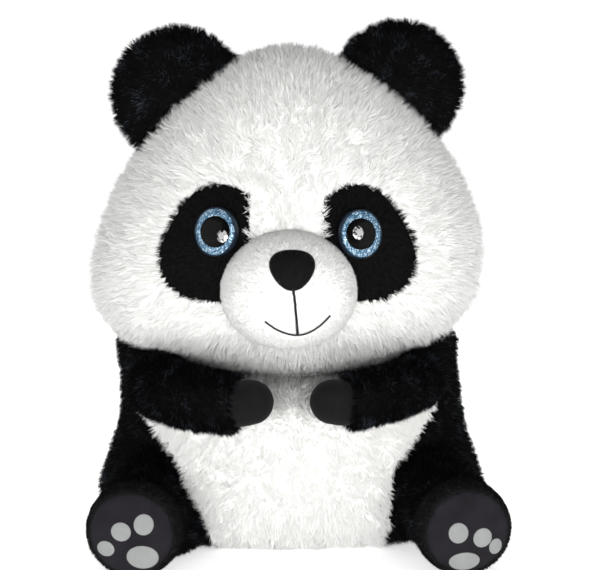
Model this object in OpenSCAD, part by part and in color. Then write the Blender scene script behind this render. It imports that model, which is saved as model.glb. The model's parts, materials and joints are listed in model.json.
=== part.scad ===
// Seated plush panda: sewn fabric panels round polyester fill, safety eyes,
// a pellet bag in the seat, and limbs and ears that flex at their seams.
// It faces -Y and sits on z = 0. Right means the side at +X.

/* [Head] */
// Width across the cheeks
head_w = 348; // [320:1:360]
// Height of the crown above the floor
head_top = 438; // [425:1:450]
// Height of the underside of the head
head_low = 152; // [151:1:156]
// Height of the widest part of the head
cheek_z = 228; // [222:1:236]
// Depth of the head in front of the ear seam
face_depth = 120; // [112:1:126]
// Depth of the head behind the ear seam
nape_depth = 120; // [108:1:126]

/* [Muzzle] */
// Width of the muzzle at its seam
muzzle_w = 116; // [108:1:122]
// Height of the muzzle at its seam
muzzle_h = 104; // [96:1:110]
// How far the muzzle stands out from the face
muzzle_reach = 50; // [42:1:56]
// Width of the nose
nose_w = 38; // [32:1:42]
// Thickness of the mouth thread
thread_d = 2.4; // [1.6:0.1:3]

/* [Eyes] */
// Distance of each eye's middle from the middle of the face
eye_x = 62; // [60:0.5:64]
// Height of the eyes' middles above the floor
eye_z = 280; // [276:1:284]
// Outer diameter of an eye
eye_d = 44; // [40:0.5:46]
// Diameter of the black pupil
pupil_d = 25; // [22:0.5:27]
// Diameter of the faceted stone on the eye
gem_d = 12.6; // [10:0.2:13]
// How far each eye is turned outwards, in degrees
eye_turn = 30; // [26:1:32]

/* [Ears] */
// Radius of the round edge of an ear
ear_r = 66; // [58:1:70]
// Thickness of an ear at its fullest
ear_t = 30; // [26:1:32]
// How far the edge of an ear leans forwards
ear_lean = 8; // [0:1:12]

/* [Body] */
// Width of the body across the hips
body_w = 296; // [288:1:300]
// Height of the top of the body
body_top = 145; // [142:1:146]
// Depth of the belly in front of the body's axis
belly_depth = 112; // [106:1:114]
// Depth of the back behind the body's axis
back_depth = 104; // [96:1:110]

/* [Arms] */
// Diameter of an arm at the shoulder
shoulder_d = 56; // [52:1:57]
// Diameter of the sleeve at the wrist
wrist_d = 49; // [46:1:51]
// Diameter of the bare hand
hand_d = 39; // [36:1:40]

/* [Legs] */
// Diameter of a leg at the hip
hip_d = 88; // [84:1:91]
// Diameter of a leg where the boot starts
ankle_d = 77; // [74:1:79]
// Length from the hip to the seam of the sole
leg_len = 130; // [120:1:134]
// How far each leg is turned outwards, in degrees
leg_turn = 11; // [9:1:13]

/* [Cloth] */
// Thickness of the plush cloth with its backing
cloth_t = 3; // [2.5:0.1:3.5]
// Room between the cloth and the fill
fill_gap = 1; // [0.8:0.1:1.2]
// Room between a limb and the body it turns in
limb_gap = 2; // [1.5:0.1:2.5]

/* [Hidden] */

$fn = 48;
white = "#efeeea";
black = "#1b1a1d";
velour = "#26242a";
suede = "#3a353c";
fill_white = "#f7f6f2";
eps = 0.01;

// The body's axis stands behind the origin, which is the middle of the floor space
axis_y = 39.8;
fill_in = cloth_t + fill_gap;
// More room in the head and the body, where the facets of cloth and fill differ
facet_room = 0.7;

// Head: rays leave head_mid, theta turns from the face to the nape and phi goes round it
seam_y = -5;
head_mid = [0, seam_y, 232];
face_z = 240;
seam_theta = 94;
face_flat = face_depth - 3;

// Columns of points round the head, the same for each piece that shares a seam
patch_mid = 32;
patch_half = 37;
patch_rise = 26;
patch_phis = [for (k = [0 : 12]) patch_mid - patch_half * cos(15 * k)];
gusset_edge = 73;
right_phis = concat([-90, -76, -62, -48, -36, -25, -15], patch_phis, [gusset_edge]);
gusset_phis = [for (k = [0 : 4]) gusset_edge + (90 - gusset_edge) * k / 2];
left_phis = [for (k = [len(right_phis) - 1 : -1 : 0]) 180 - right_phis[k]];
ring_phis = concat(
    right_phis,
    [for (k = [1 : 3]) gusset_phis[k]],
    [for (k = [0 : len(left_phis) - 2]) left_phis[k]]
);
muzzle_rows = 8;
face_rows = 8;
nape_rows = 10;

// Body: rays leave body_mid, theta turns down from the top and phi goes round it
body_mid = [0, 0, 66];
hip_z = 70;
below_floor = 25;
neck_r = 45;
neck_gap = 0.6;
body_thetas = [30, 38, 46, 53, 60, 67, 74, 82, 90, 98, 106, 112, 116];
seat_thetas = [116, 123, 132, 146, 180];
belly_cols = 16;
back_cols = 12;
neck_z = (body_top + head_low) / 2;
neck_t = head_low - body_top - 2 * neck_gap;
pellet_r = 62;
pellet_y = 4;
pellet_z = [5, 26];
bag_t = 1.2;
tail_r = 24;
tail_reach = 20;
tail_z = 42;

// Limbs
shoulder = [126, -42, 140];
arm_path = [shoulder, [124, -88, 143], [90, -120, 142], [50, -133, 139], [15 + hand_d / 2, -134, 139]];
arm_sides = 18;
sleeve_end = 0.76;
hand_start = 0.72;
hand_t = 2;
hip = [118, -68, 48];
leg_drop = 4.5;
leg_lift = 18;
boot_start = leg_len - 32;
sole_r = ankle_d / 2 - 1.5;
sole_dome = 8;

// Ears: u runs along the base, v away from the head, w to the back
ear_foot = [88, 3, 388];
ear_u = [0.714, 0, -0.7];
ear_v = [0.7, 0, 0.714];
ear_w = [0, 1, 0];
ear_gap = 3;

// ---------- Shapes ----------

function mean(pair) = (pair[0] + pair[1]) / 2;

// Falls smoothly from 1 at t = 0 to 0 at t = 1
function fall(t, p, q) = pow(max(0, 1 - pow(max(0, t), p)), 1 / q);

// Less than 1 inside a rounded oval with half sizes a and b
function oval(x, y, a, b) = pow(abs(x) / max(a, eps), 2.1) + pow(abs(y) / max(b, eps), 2.1);

function head_share(z, mid, p, q) =
    z > mid ? fall((z - mid) / (head_top - mid), p, q) : fall((mid - z) / (mid - head_low), 2.7, 2.3);

function in_head(p) =
    p.z > head_low && p.z < head_top
    && oval(
        p.x,
        p.y - seam_y,
        head_w / 2 * head_share(p.z, cheek_z, 1.65, 1.7),
        (p.y < seam_y ? face_depth : nape_depth) * head_share(p.z, face_z, 2, 2)
    ) < 1;

function body_share(z) =
    z > hip_z ? fall((z - hip_z) / (body_top - hip_z), 3.2, 2.2)
    : fall((hip_z - z) / (hip_z + below_floor), 3, 2.2);

function in_body(p) =
    let (depth = p.y < 0 ? belly_depth : back_depth, share = body_share(p.z))
    p.z > 0 && p.z < body_top && oval(p.x, p.y, body_w / 2 * share, depth * share) < 1;

// Distance from c along d to the surface of a shape
function reach(c, d, inside, lo = 0, hi = 300, n = 16) =
    let (mid = (lo + hi) / 2)
    n == 0 ? mid
    : inside(c + mid * d) ? reach(c, d, inside, mid, hi, n - 1)
    : reach(c, d, inside, lo, mid, n - 1);

// ---------- Points on the head ----------

function head_ray(theta, phi) = [sin(theta) * cos(phi), -cos(theta), sin(theta) * sin(phi)];

function bare_reach(theta, phi) = reach(head_mid, head_ray(theta, phi), function(p) in_head(p));

// Angle from the middle of the muzzle to its seam
function muzzle_theta(phi) =
    let (a = muzzle_w / 2, b = muzzle_h / 2)
    atan(a * b / sqrt(pow(b * cos(phi), 2) + pow(a * sin(phi), 2)) / face_flat);

// Angle to the outer edge of the eye patch, or to the muzzle where there is no patch
function patch_theta(phi) =
    let (u = abs(phi - patch_mid) / patch_half)
    muzzle_theta(phi) + patch_rise * sqrt(max(0, 1 - pow(min(u, 1), 3)));

// Reach of the face at the side of the muzzle, which the middle of the muzzle builds on
face_reach = bare_reach(muzzle_theta(0), 0);

function head_reach(theta, phi) =
    let (edge = muzzle_theta(phi), q = theta / edge)
    q < 1 - eps / 10
        ? bare_reach(edge, phi) * q * q + face_reach * (1 - q * q) + muzzle_reach * pow(1 - q * q, 0.75)
        : bare_reach(theta, phi);

function head_point(theta, phi, drop = 0) = head_mid + (head_reach(theta, phi) - drop) * head_ray(theta, phi);

// Point at a share t of the way from a seam at the angle edge to the seam behind the ears
function face_point(edge, t, phi, drop) = head_point(edge + (seam_theta - edge) * t, phi, drop);

// ---------- Points on the body ----------

function body_ray(theta, phi) = [sin(theta) * cos(phi), sin(theta) * sin(phi), cos(theta)];

function body_point(theta, phi, drop = 0) =
    let (
        ray = body_ray(theta, phi),
        far = reach(body_mid, ray, function(p) in_body(p)) - drop,
        p = body_mid + far * ray
    )
    [p.x, p.y, p.z < eps ? 0 : p.z];

// Half the angle that the belly panel takes, which narrows downwards
function belly_half(theta) = 55 + 27 / (1 + exp((theta - 76) / 7));

// ---------- Meshes from rows of points ----------

function flat(rows) = [for (row = rows) for (p = row) p];

// Number of the first point of each row. An end row may be a single point, a pole
function starts(rows, i = 0, n = 0) =
    i == len(rows) ? [] : concat([n], starts(rows, i + 1, n + len(rows[i])));

function at(rows, first, i, j) = first[i] + (len(rows[i]) == 1 ? 0 : j % len(rows[i]));

function spread_faces(rows, wrap) =
    let (first = starts(rows), last = len(rows[1]) - (wrap ? 1 : 2))
    [
        for (i = [0 : len(rows) - 2]) for (j = [0 : last])
            let (
                a = at(rows, first, i, j),
                b = at(rows, first, i, j + 1),
                c = at(rows, first, i + 1, j + 1),
                d = at(rows, first, i + 1, j)
            )
            each [if (len(rows[i]) > 1) [a, b, c], if (len(rows[i + 1]) > 1) [a, c, d]]
    ];

// Directed edges round a sheet of rows
function rim_edges(rows, wrap) =
    let (first = starts(rows), m = len(rows) - 1, n = len(rows[1]) - 1, across = wrap ? n : n - 1)
    concat(
        len(rows[0]) > 1 ? [for (j = [0 : across]) [at(rows, first, 0, j + 1), at(rows, first, 0, j)]] : [],
        len(rows[m]) > 1 ? [for (j = [0 : across]) [at(rows, first, m, j), at(rows, first, m, j + 1)]] : [],
        wrap ? [] : [for (i = [0 : m - 1]) [at(rows, first, i, 0), at(rows, first, i + 1, 0)]],
        wrap ? [] : [for (i = [0 : m - 1]) [at(rows, first, i + 1, n), at(rows, first, i, n)]]
    );

function turned(faces) = [for (f = faces) [f[2], f[1], f[0]]];

// A piece of cloth between an outer and an inner sheet of points
module cloth(outer, inner, wrap = false) {
    n = len(flat(outer));
    top = spread_faces(outer, wrap);
    under = [for (f = turned(top)) [f[0] + n, f[1] + n, f[2] + n]];
    walls = [for (e = rim_edges(outer, wrap)) each [[e[0], e[1], e[1] + n], [e[0], e[1] + n, e[0] + n]]];
    polyhedron(points = concat(flat(outer), flat(inner)), faces = concat(top, under, walls), convexity = 8);
}

// A closed form whose first and last rows are poles
module form(rows) {
    polyhedron(points = flat(rows), faces = spread_faces(rows, true), convexity = 8);
}

// Moves from the body's axis to the part's origin
module place() {
    translate([0, axis_y, 0]) children();
}

module mirrored() {
    mirror([1, 0, 0]) children();
}

// ---------- Body ----------

// Space for the root of an arm, and for a leg through its whole lift: a ball that opens into a cone
module limb_room() {
    half = leg_lift / 2;
    r = hip_d / 2 + limb_gap;
    mouth = r * cos(half) + (boot_start + r * sin(half)) * tan(half);
    translate(shoulder) sphere(d = shoulder_d + 2 * limb_gap);
    translate(hip) rotate([-half, 0, 0]) translate(-hip) at_hip() rotate_extrude() polygon(concat(
        [[0, -r]],
        [for (a = [9 : 9 : 90 - half]) r * [sin(a), -cos(a)]],
        [[mouth, boot_start], [0, boot_start]]
    ));
}

module limb_rooms() {
    limb_room();
    mirrored() limb_room();
}

module pellet_form(inset) {
    r = pellet_r - inset;
    low = pellet_z[0] + inset;
    high = pellet_z[1] - inset;
    side = (high - low) / 2;
    translate([0, pellet_y, 0]) rotate_extrude() polygon(concat(
        [[0, low]],
        [for (a = [-90 : 15 : 90]) [r - side + side * cos(a), (low + high) / 2 + side * sin(a)]],
        [[0, high]]
    ));
}

module body_stuffing() {
    rows = [
        for (theta = concat([0, 15], body_thetas, [123, 132, 146, 180]))
            theta % 180 == 0
                ? [body_point(theta, 0, fill_in + facet_room)]
                : [for (phi = [0 : 10 : 350]) body_point(theta, phi, fill_in + facet_room)]
    ];
    color(fill_white) place() difference() {
        form(rows);
        limb_rooms();
        pellet_form(-fill_gap);
        translate([0, pellet_y, 0]) cylinder(h = mean(pellet_z), r = pellet_r - 10);
    }
}

module pellet_bag() {
    color(fill_white) place() difference() {
        pellet_form(0);
        pellet_form(bag_t);
    }
}

module pellets() {
    color("#c9c4b8") place() pellet_form(bag_t + 0.3);
}

module belly_panel() {
    sheet = function(drop) [
        for (theta = body_thetas)
            let (half = belly_half(theta))
            [for (k = [0 : belly_cols]) body_point(theta, -90 + half * (2 * k / belly_cols - 1), drop)]
    ];
    color(white) place() difference() {
        cloth(sheet(0), sheet(cloth_t));
        limb_rooms();
    }
}

module back_panel() {
    sheet = function(drop) [
        for (theta = body_thetas)
            let (from = -90 + belly_half(theta))
            [for (k = [0 : back_cols]) body_point(theta, from + (90 - from) * k / back_cols, drop)]
    ];
    color(black) place() difference() {
        cloth(sheet(0), sheet(cloth_t));
        limb_rooms();
    }
}

module back_panel_left() {
    mirrored() back_panel();
}

module back_panel_right() {
    back_panel();
}

module seat_panel() {
    half = belly_half(seat_thetas[0]);
    belly_phis = [for (k = [0 : belly_cols - 1]) -90 + half * (2 * k / belly_cols - 1)];
    right = [for (k = [0 : back_cols - 1]) -90 + half + (180 - half) * k / back_cols];
    left = [for (k = [back_cols : -1 : 1]) 270 - half - (180 - half) * k / back_cols];
    phis = concat(belly_phis, right, left);
    sheet = function(drop) [
        for (theta = seat_thetas)
            theta == 180 ? [body_point(theta, 0, drop)] : [for (phi = phis) body_point(theta, phi, drop)]
    ];
    color(black) place() difference() {
        cloth(sheet(0), sheet(cloth_t), wrap = true);
        limb_rooms();
    }
}

// Ladder stitches that close the back seam after filling
module closing_stitches() {
    stitch_r = 0.6;
    stitch_w = 7;
    color(black) place() for (theta = [58 : 4 : 84])
        translate(body_point(theta, 90, -1.5 * stitch_r)) rotate([90 - theta, 0, 0]) rotate([0, 90, 0])
            cylinder(h = stitch_w, r = stitch_r, center = true);
}

module tail_form(inset) {
    translate([0, back_depth + 0.6, tail_z]) rotate([-90, 0, 0]) rotate_extrude() polygon(concat(
        [[0, inset]],
        [for (a = [0 : 10 : 90]) [(tail_r - inset) * cos(a), inset + (tail_reach - 2 * inset) * sin(a)]]
    ));
}

module tail_cover() {
    color(black) place() difference() {
        tail_form(0);
        tail_form(cloth_t);
    }
}

module tail_stuffing() {
    color(fill_white) place() tail_form(fill_in);
}

// ---------- Neck ----------

module neck_stuffing() {
    color(fill_white) place() translate([0, 0, neck_z]) cylinder(h = neck_t, r = neck_r - 8, center = true);
}

module neck_stitching() {
    color(white) place() translate([0, 0, neck_z])
        rotate_extrude() translate([neck_r, 0]) circle(d = thread_d, $fn = 16);
}

// ---------- Head ----------

// A closed form at a set depth below the surface of the head and muzzle
module head_form(drop) {
    muzzle_part = [
        for (k = [0 : muzzle_rows]) let (q = sin(90 * k / muzzle_rows))
            k == 0 ? [head_point(0, 0, drop)]
            : [for (phi = ring_phis) head_point(q * muzzle_theta(phi), phi, drop)]
    ];
    face_part = [
        for (k = [1 : face_rows])
            [for (phi = ring_phis) face_point(muzzle_theta(phi), k / face_rows, phi, drop)]
    ];
    nape_part = [
        for (k = [1 : nape_rows]) let (theta = seam_theta + (180 - seam_theta) * k / nape_rows)
            k == nape_rows ? [head_point(180, 0, drop)]
            : [for (phi = ring_phis) head_point(theta, phi, drop)]
    ];
    form(concat(muzzle_part, face_part, nape_part));
}

// Places things in an eye's own frame: z points out of the eye
module at_eye() {
    phi = atan2(eye_z - head_mid.z, eye_x);
    theta = atan(norm([eye_x, eye_z - head_mid.z]) / (face_flat - 7));
    translate(head_point(theta, phi, -2)) rotate([0, 85, eye_turn - 90]) children();
}

// Room that an eye, its shank and its washer take out of the cloth and the fill
module eye_room(r) {
    at_eye() rotate_extrude() polygon([
        [0, -shank_len - 4], [shank_r + 1.5, -shank_len - 4], [shank_r + 1.5, washer_z - 1.5],
        [washer_r + 1, washer_z - 1.5], [washer_r + 1, -6], [r, -2.2], [r, 30], [0, 30]
    ]);
}

module head_stuffing() {
    color(fill_white) place() difference() {
        head_form(fill_in + facet_room);
        eye_room(eye_d / 2 + 1);
        mirrored() eye_room(eye_d / 2 + 1);
    }
}

module face_panel() {
    sheet = function(drop) [
        for (phi = right_phis)
            [for (k = [0 : face_rows]) face_point(patch_theta(phi), 1 - k / face_rows, phi, drop)]
    ];
    color(white) place() cloth(sheet(0), sheet(cloth_t));
}

module face_panel_left() {
    mirrored() face_panel();
}

module face_panel_right() {
    face_panel();
}

module forehead_gusset() {
    sheet = function(drop) [
        for (phi = gusset_phis)
            [for (k = [0 : face_rows]) face_point(muzzle_theta(phi), 1 - k / face_rows, phi, drop)]
    ];
    color(white) place() cloth(sheet(0), sheet(cloth_t));
}

module head_back() {
    phis = concat(right_phis, [gusset_phis[1], 90]);
    sheet = function(drop) [
        for (k = [0 : nape_rows]) let (theta = seam_theta + (180 - seam_theta) * k / nape_rows)
            k == nape_rows ? [head_point(180, 0, drop)] : [for (phi = phis) head_point(theta, phi, drop)]
    ];
    color(white) place() cloth(sheet(0), sheet(cloth_t));
}

module head_back_left() {
    mirrored() head_back();
}

module head_back_right() {
    head_back();
}

module muzzle_panel() {
    sheet = function(drop) [
        for (k = [0 : muzzle_rows]) let (q = sin(90 * k / muzzle_rows))
            k == 0 ? [head_point(0, 0, drop)]
            : [for (phi = ring_phis) head_point(q * muzzle_theta(phi), phi, drop)]
    ];
    color(white) place() cloth(sheet(0), sheet(cloth_t), wrap = true);
}

module eye_patch() {
    rows = 6;
    last = len(patch_phis) - 1;
    sheet = function(drop) [
        for (i = [0 : last])
            let (phi = patch_phis[i], edge = muzzle_theta(phi), far = patch_theta(phi))
            i == 0 || i == last
                ? [head_point(edge, phi, drop)]
                : [for (k = [0 : rows]) head_point(far + (edge - far) * k / rows, phi, drop)]
    ];
    color(black) place() difference() {
        cloth(sheet(0), sheet(cloth_t));
        eye_room(eye_d / 2 + 0.1);
    }
}

module eye_patch_left() {
    mirrored() eye_patch();
}

module eye_patch_right() {
    eye_patch();
}

module nose_ball(r) {
    scale([1, 0.6, 1]) sphere(r = r, $fn = 32);
}

module nose() {
    middle = head_point(7, 90, -1.5);
    color(black) place() difference() {
        translate(middle) rotate([12, 0, 0]) hull() {
            for (side = [-1, 1]) translate([side * (nose_w / 2 - 11), 0, 5]) nose_ball(11);
            translate([0, 0, -11]) nose_ball(6);
        }
        head_form(-0.2);
    }
}

// A round thread along a list of points
module thread(path, d) {
    sides = 8;
    last = len(path) - 1;
    rows = [
        for (i = [0 : last])
            let (
                t = path[min(i + 1, last)] - path[max(i - 1, 0)],
                a = cross(t, [0, 1, 0.2]) / norm(cross(t, [0, 1, 0.2])),
                b = cross(a, t) / norm(cross(a, t))
            )
            [for (turn = [0 : 360 / sides : 359]) path[i] + d / 2 * (cos(turn) * a + sin(turn) * b)]
    ];
    form(concat([[path[0]]], rows, [[path[last]]]));
}

module mouth_stitching() {
    lift = -thread_d / 2 - 0.2;
    drop_line = [for (a = [-0.5 : 1.5 : 10]) head_point(abs(a), a < 0 ? 90 : -90, lift)];
    smile = [for (phi = [-150 : 8 : -30]) head_point(10.4 + 1.4 * cos(phi + 90), phi, lift)];
    color(black) place() {
        thread(drop_line, thread_d);
        thread(smile, thread_d);
    }
}

// ---------- Eyes ----------

// Heights in an eye's own frame, from the shank inside the head to the clear dome
shank_len = 22;
shank_r = 3.5;
washer_z = -10.5;
washer_r = 12;
ring_z = 1.1;
lens_z = 2.8;
gem_z = 4.4;

module eye_back() {
    color("#101012") place() at_eye() {
        translate([0, 0, ring_z - 3.1]) cylinder(h = 3, d = eye_d);
        translate([0, 0, -shank_len - 2]) cylinder(h = shank_len + 0.5, r = shank_r);
        for (z = [-shank_len - 1 : 3 : washer_z - 3.5]) translate([0, 0, z])
            cylinder(h = 1.2, r = shank_r + 0.7);
    }
}

module eye_back_left() {
    mirrored() eye_back();
}

module eye_back_right() {
    eye_back();
}

module eye_ring() {
    color("#7fb2cf") place() at_eye() rotate_extrude()
        polygon([
            [pupil_d / 2 + 0.1, ring_z],
            [eye_d / 2 - 0.4, ring_z],
            [eye_d / 2 - 0.4, ring_z + 0.7],
            [pupil_d / 2 + 0.1, ring_z + 1.5]
        ]);
}

module eye_ring_left() {
    mirrored() eye_ring();
}

module eye_ring_right() {
    eye_ring();
}

module pupil() {
    color("#050506") place() at_eye() translate([0, 0, ring_z])
        cylinder(h = lens_z - ring_z - 0.1, d = pupil_d);
}

module pupil_left() {
    mirrored() pupil();
}

module pupil_right() {
    pupil();
}

// Clear dome with a drilled seat for the stone
module eye_lens(seat) {
    dome = 5.5;
    wall = 0.6;
    color("#dfeef6", 0.4) place() at_eye() difference() {
        rotate_extrude() polygon(concat(
            [[0, lens_z]],
            [for (a = [0 : 10 : 90]) [eye_d / 2 * cos(a), lens_z + wall + dome * sin(a)]]
        ));
        translate([seat.x, seat.y, gem_z - 0.1]) cylinder(h = 20, d = gem_d + 0.2);
    }
}

// Local x of an eye points down and local y outwards
gem_left = [3, -9, 0];
gem_right = [-0.5, -6, 0];

module eye_lens_left() {
    mirrored() eye_lens(gem_left);
}

module eye_lens_right() {
    eye_lens(gem_right);
}

module eye_gem(seat) {
    girdle = 3.2;
    crown = 2.2;
    color("#f2f7fb") place() at_eye() translate([seat.x, seat.y, gem_z]) {
        cylinder(h = girdle, d = gem_d, $fn = 10);
        translate([0, 0, girdle]) cylinder(h = crown, d1 = gem_d, d2 = gem_d * 0.55, $fn = 10);
    }
}

module eye_gem_left() {
    mirrored() eye_gem(gem_left);
}

module eye_gem_right() {
    eye_gem(gem_right);
}

module lock_washer() {
    color("#d8d8d6") place() at_eye() translate([0, 0, washer_z]) difference() {
        cylinder(h = 1.5, r = washer_r);
        translate([0, 0, -1]) cylinder(h = 4, r = shank_r + 0.2);
    }
}

module lock_washer_left() {
    mirrored() lock_washer();
}

module lock_washer_right() {
    lock_washer();
}

// ---------- Ears ----------

// Height of the ear's foot and of its edge above the hinge line, at u along it
function ear_low(u) =
    let (from = ear_foot + u * ear_u - 60 * ear_v)
    reach(from, ear_v, function(p) in_head(p)) - 60 + ear_gap;

function ear_high(u) = sqrt(max(0, ear_r * ear_r - u * u)) + ear_gap;

function ear_half(beta, tau) = max(1.6, (5 + (ear_t / 2 - 5) * cos(beta)) * sin(180 * (0.12 + 0.88 * tau)));

// side is -1 for the front and 1 for the back, and inset goes in from that face
function ear_point(beta, tau, side, inset) =
    let (
        u = ear_r * sin(beta),
        low = ear_low(u),
        v = low + (ear_high(u) - low) * tau,
        w = side * max(0, ear_half(beta, tau) - inset) - ear_lean * pow(v / ear_r, 2)
    )
    ear_foot + u * ear_u + v * ear_v + w * ear_w;

module ear_sheet(side) {
    sheet = function(inset) [
        for (beta = [-75 : 12.5 : 75]) [for (k = [0 : 8]) ear_point(beta, k / 8, side, inset)]
    ];
    if (side < 0) cloth(sheet(0), sheet(cloth_t));
    else cloth(sheet(cloth_t), sheet(0));
}

module ear_front_left() {
    color(black) place() mirrored() ear_sheet(-1);
}

module ear_front_right() {
    color(black) place() ear_sheet(-1);
}

module ear_back_left() {
    color(black) place() mirrored() ear_sheet(1);
}

module ear_back_right() {
    color(black) place() ear_sheet(1);
}

module ear_fill() {
    sheet = function(side) [
        for (beta = [-60 : 15 : 60]) [for (k = [0 : 5]) ear_point(beta, 0.1 + 0.13 * k, side, fill_in)]
    ];
    cloth(sheet(-1), sheet(1));
}

module ear_stuffing_left() {
    color(fill_white) place() mirrored() ear_fill();
}

module ear_stuffing_right() {
    color(fill_white) place() ear_fill();
}

// ---------- Arms ----------

// Point on a smooth curve through the arm's path
function arm_at(t) =
    let (
        n = len(arm_path) - 1,
        i = min(floor(t * n), n - 1),
        f = t * n - i,
        b = arm_path[i],
        c = arm_path[i + 1],
        a = i > 0 ? arm_path[i - 1] : 2 * b - c,
        d = i < n - 1 ? arm_path[i + 2] : 2 * c - b
    )
    0.5 * (2 * b + (c - a) * f + (2 * a - 5 * b + 4 * c - d) * f * f + (3 * b - a - 3 * c + d) * f * f * f);

function arm_heading(t) =
    let (step = arm_at(min(1, t + 0.01)) - arm_at(max(0, t - 0.01)))
    step / norm(step);

function sleeve_radius(t) = (shoulder_d + (wrist_d - shoulder_d) * pow(t / sleeve_end, 2)) / 2;

// A ring of points round the arm, moved along by ahead
function arm_ring(t, r, ahead = 0) =
    let (
        heading = arm_heading(t),
        across = cross(heading, [0, 0, 1]) / norm(cross(heading, [0, 0, 1])),
        up = cross(across, heading)
    )
    [
        for (turn = [0 : 360 / arm_sides : 359])
            arm_at(t) + ahead * heading + r * (cos(turn) * across + sin(turn) * up)
    ];

function shoulder_rings(r, from) = [for (a = [from : 20 : 80]) arm_ring(0, r * sin(a), -r * cos(a))];

function sleeve_rings(inset, last) =
    [for (k = [0 : 9]) let (t = last * k / 9) arm_ring(t, sleeve_radius(t) - inset)];

function hand_rings(inset, from) =
    let (r = hand_d / 2 - inset)
    concat(
        [for (k = [0 : 3]) arm_ring(from + (1 - from) * k / 3, r)],
        [for (a = [20 : 20 : 80]) arm_ring(1, r * cos(a), r * sin(a))],
        [[arm_at(1) + r * arm_heading(1)]]
    );

module sleeve() {
    sheet = function(inset)
        concat(shoulder_rings(shoulder_d / 2 - inset, 40), sleeve_rings(inset, sleeve_end));
    color(black) place() cloth(sheet(0), sheet(cloth_t), wrap = true);
}

module sleeve_left() {
    mirrored() sleeve();
}

module sleeve_right() {
    sleeve();
}

module hand() {
    color(velour) place() cloth(hand_rings(0, hand_start), hand_rings(hand_t, hand_start), wrap = true);
}

module hand_left() {
    mirrored() hand();
}

module hand_right() {
    hand();
}

module arm_fill() {
    r = shoulder_d / 2 - fill_in;
    pole = [[arm_at(0) - r * arm_heading(0)]];
    upper = concat(pole, shoulder_rings(r, 20), sleeve_rings(fill_in, hand_start - 0.03));
    form(concat(upper, hand_rings(hand_t + fill_gap, hand_start - 0.005)));
}

module arm_stuffing_left() {
    color(fill_white) place() mirrored() arm_fill();
}

module arm_stuffing_right() {
    color(fill_white) place() arm_fill();
}

// ---------- Legs ----------

// Places things in a leg's own frame: z runs from the hip to the sole
module at_hip() {
    translate(hip) rotate([0, 90 + leg_drop, leg_turn - 90]) children();
}

function leg_curve(inset, from) = concat(
    [for (a = [from : 10 : 80]) (hip_d / 2 - inset) * [sin(a), -cos(a)]],
    [
        for (k = [0 : 6]) let (t = k / 6)
            [hip_d / 2 + (ankle_d - hip_d) / 2 * (1 - pow(1 - t, 1.6)) - inset, boot_start * t]
    ]
);

function boot_curve(inset) = [
    for (k = [0 : 5])
        let (t = k / 5, r = ankle_d / 2 + (sole_r - ankle_d / 2) * t + 1.8 * sin(180 * t))
        [r - inset, boot_start + (leg_len - boot_start) * t]
];

// The sole is part of a ball, with its flat edge just clear of the boot's
ball_r = (sole_r * sole_r + sole_dome * sole_dome) / (2 * sole_dome);
ball_z = leg_len + sole_dome - ball_r;
sole_gap = 0.3;

function sole_curve(inset) =
    let (r = ball_r - inset, edge = acos((leg_len + sole_gap - ball_z) / r))
    [for (k = [0 : 6]) let (a = edge * (1 - k / 6)) [r * sin(a), ball_z + r * cos(a)]];

function backwards(list) = [for (k = [len(list) - 1 : -1 : 0]) list[k]];

module leg_cover() {
    color(black) place() at_hip() rotate_extrude()
        polygon(concat(leg_curve(0, 40), backwards(leg_curve(cloth_t, 40))));
}

module leg_cover_left() {
    mirrored() leg_cover();
}

module leg_cover_right() {
    leg_cover();
}

module boot() {
    color(black) place() at_hip() rotate_extrude()
        polygon(concat(boot_curve(0), backwards(boot_curve(cloth_t))));
}

module boot_left() {
    mirrored() boot();
}

module boot_right() {
    boot();
}

module sole() {
    color(suede) place() at_hip() rotate_extrude()
        polygon(concat(sole_curve(0), backwards(sole_curve(cloth_t))));
}

module sole_left() {
    mirrored() sole();
}

module sole_right() {
    sole();
}

// Three toe spots and a larger pad, cut from thin velour that follows the sole
module sole_spots() {
    toes = [[-6, -10], [0, 9], [12, 21]];
    toe_r = 8.2;
    pad = [18, -7];
    pad_r = 10;
    spot_t = 1;
    spot_gap = 0.1;
    color("#a9aaaa") place() at_hip() intersection() {
        translate([0, 0, ball_z]) difference() {
            sphere(r = ball_r + spot_gap + spot_t);
            sphere(r = ball_r + spot_gap);
        }
        translate([0, 0, leg_len]) {
            for (toe = toes) translate([toe.x, toe.y, 0]) cylinder(h = 2 * sole_dome, r = toe_r);
            translate([pad.x, pad.y, 0]) scale([1, 1.35, 1]) cylinder(h = 2 * sole_dome, r = pad_r);
        }
    }
}

module sole_spots_left() {
    mirrored() sole_spots();
}

module sole_spots_right() {
    sole_spots();
}

module leg_stuffing() {
    cap = leg_len + sole_dome - fill_in - 0.5;
    color(fill_white) place() at_hip() rotate_extrude() polygon(concat(
        [[0, -hip_d / 2 + fill_in]],
        leg_curve(fill_in, 10),
        [[sole_r - fill_in - 1, leg_len - fill_in], [0, cap]]
    ));
}

module leg_stuffing_left() {
    mirrored() leg_stuffing();
}

module leg_stuffing_right() {
    leg_stuffing();
}

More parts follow.
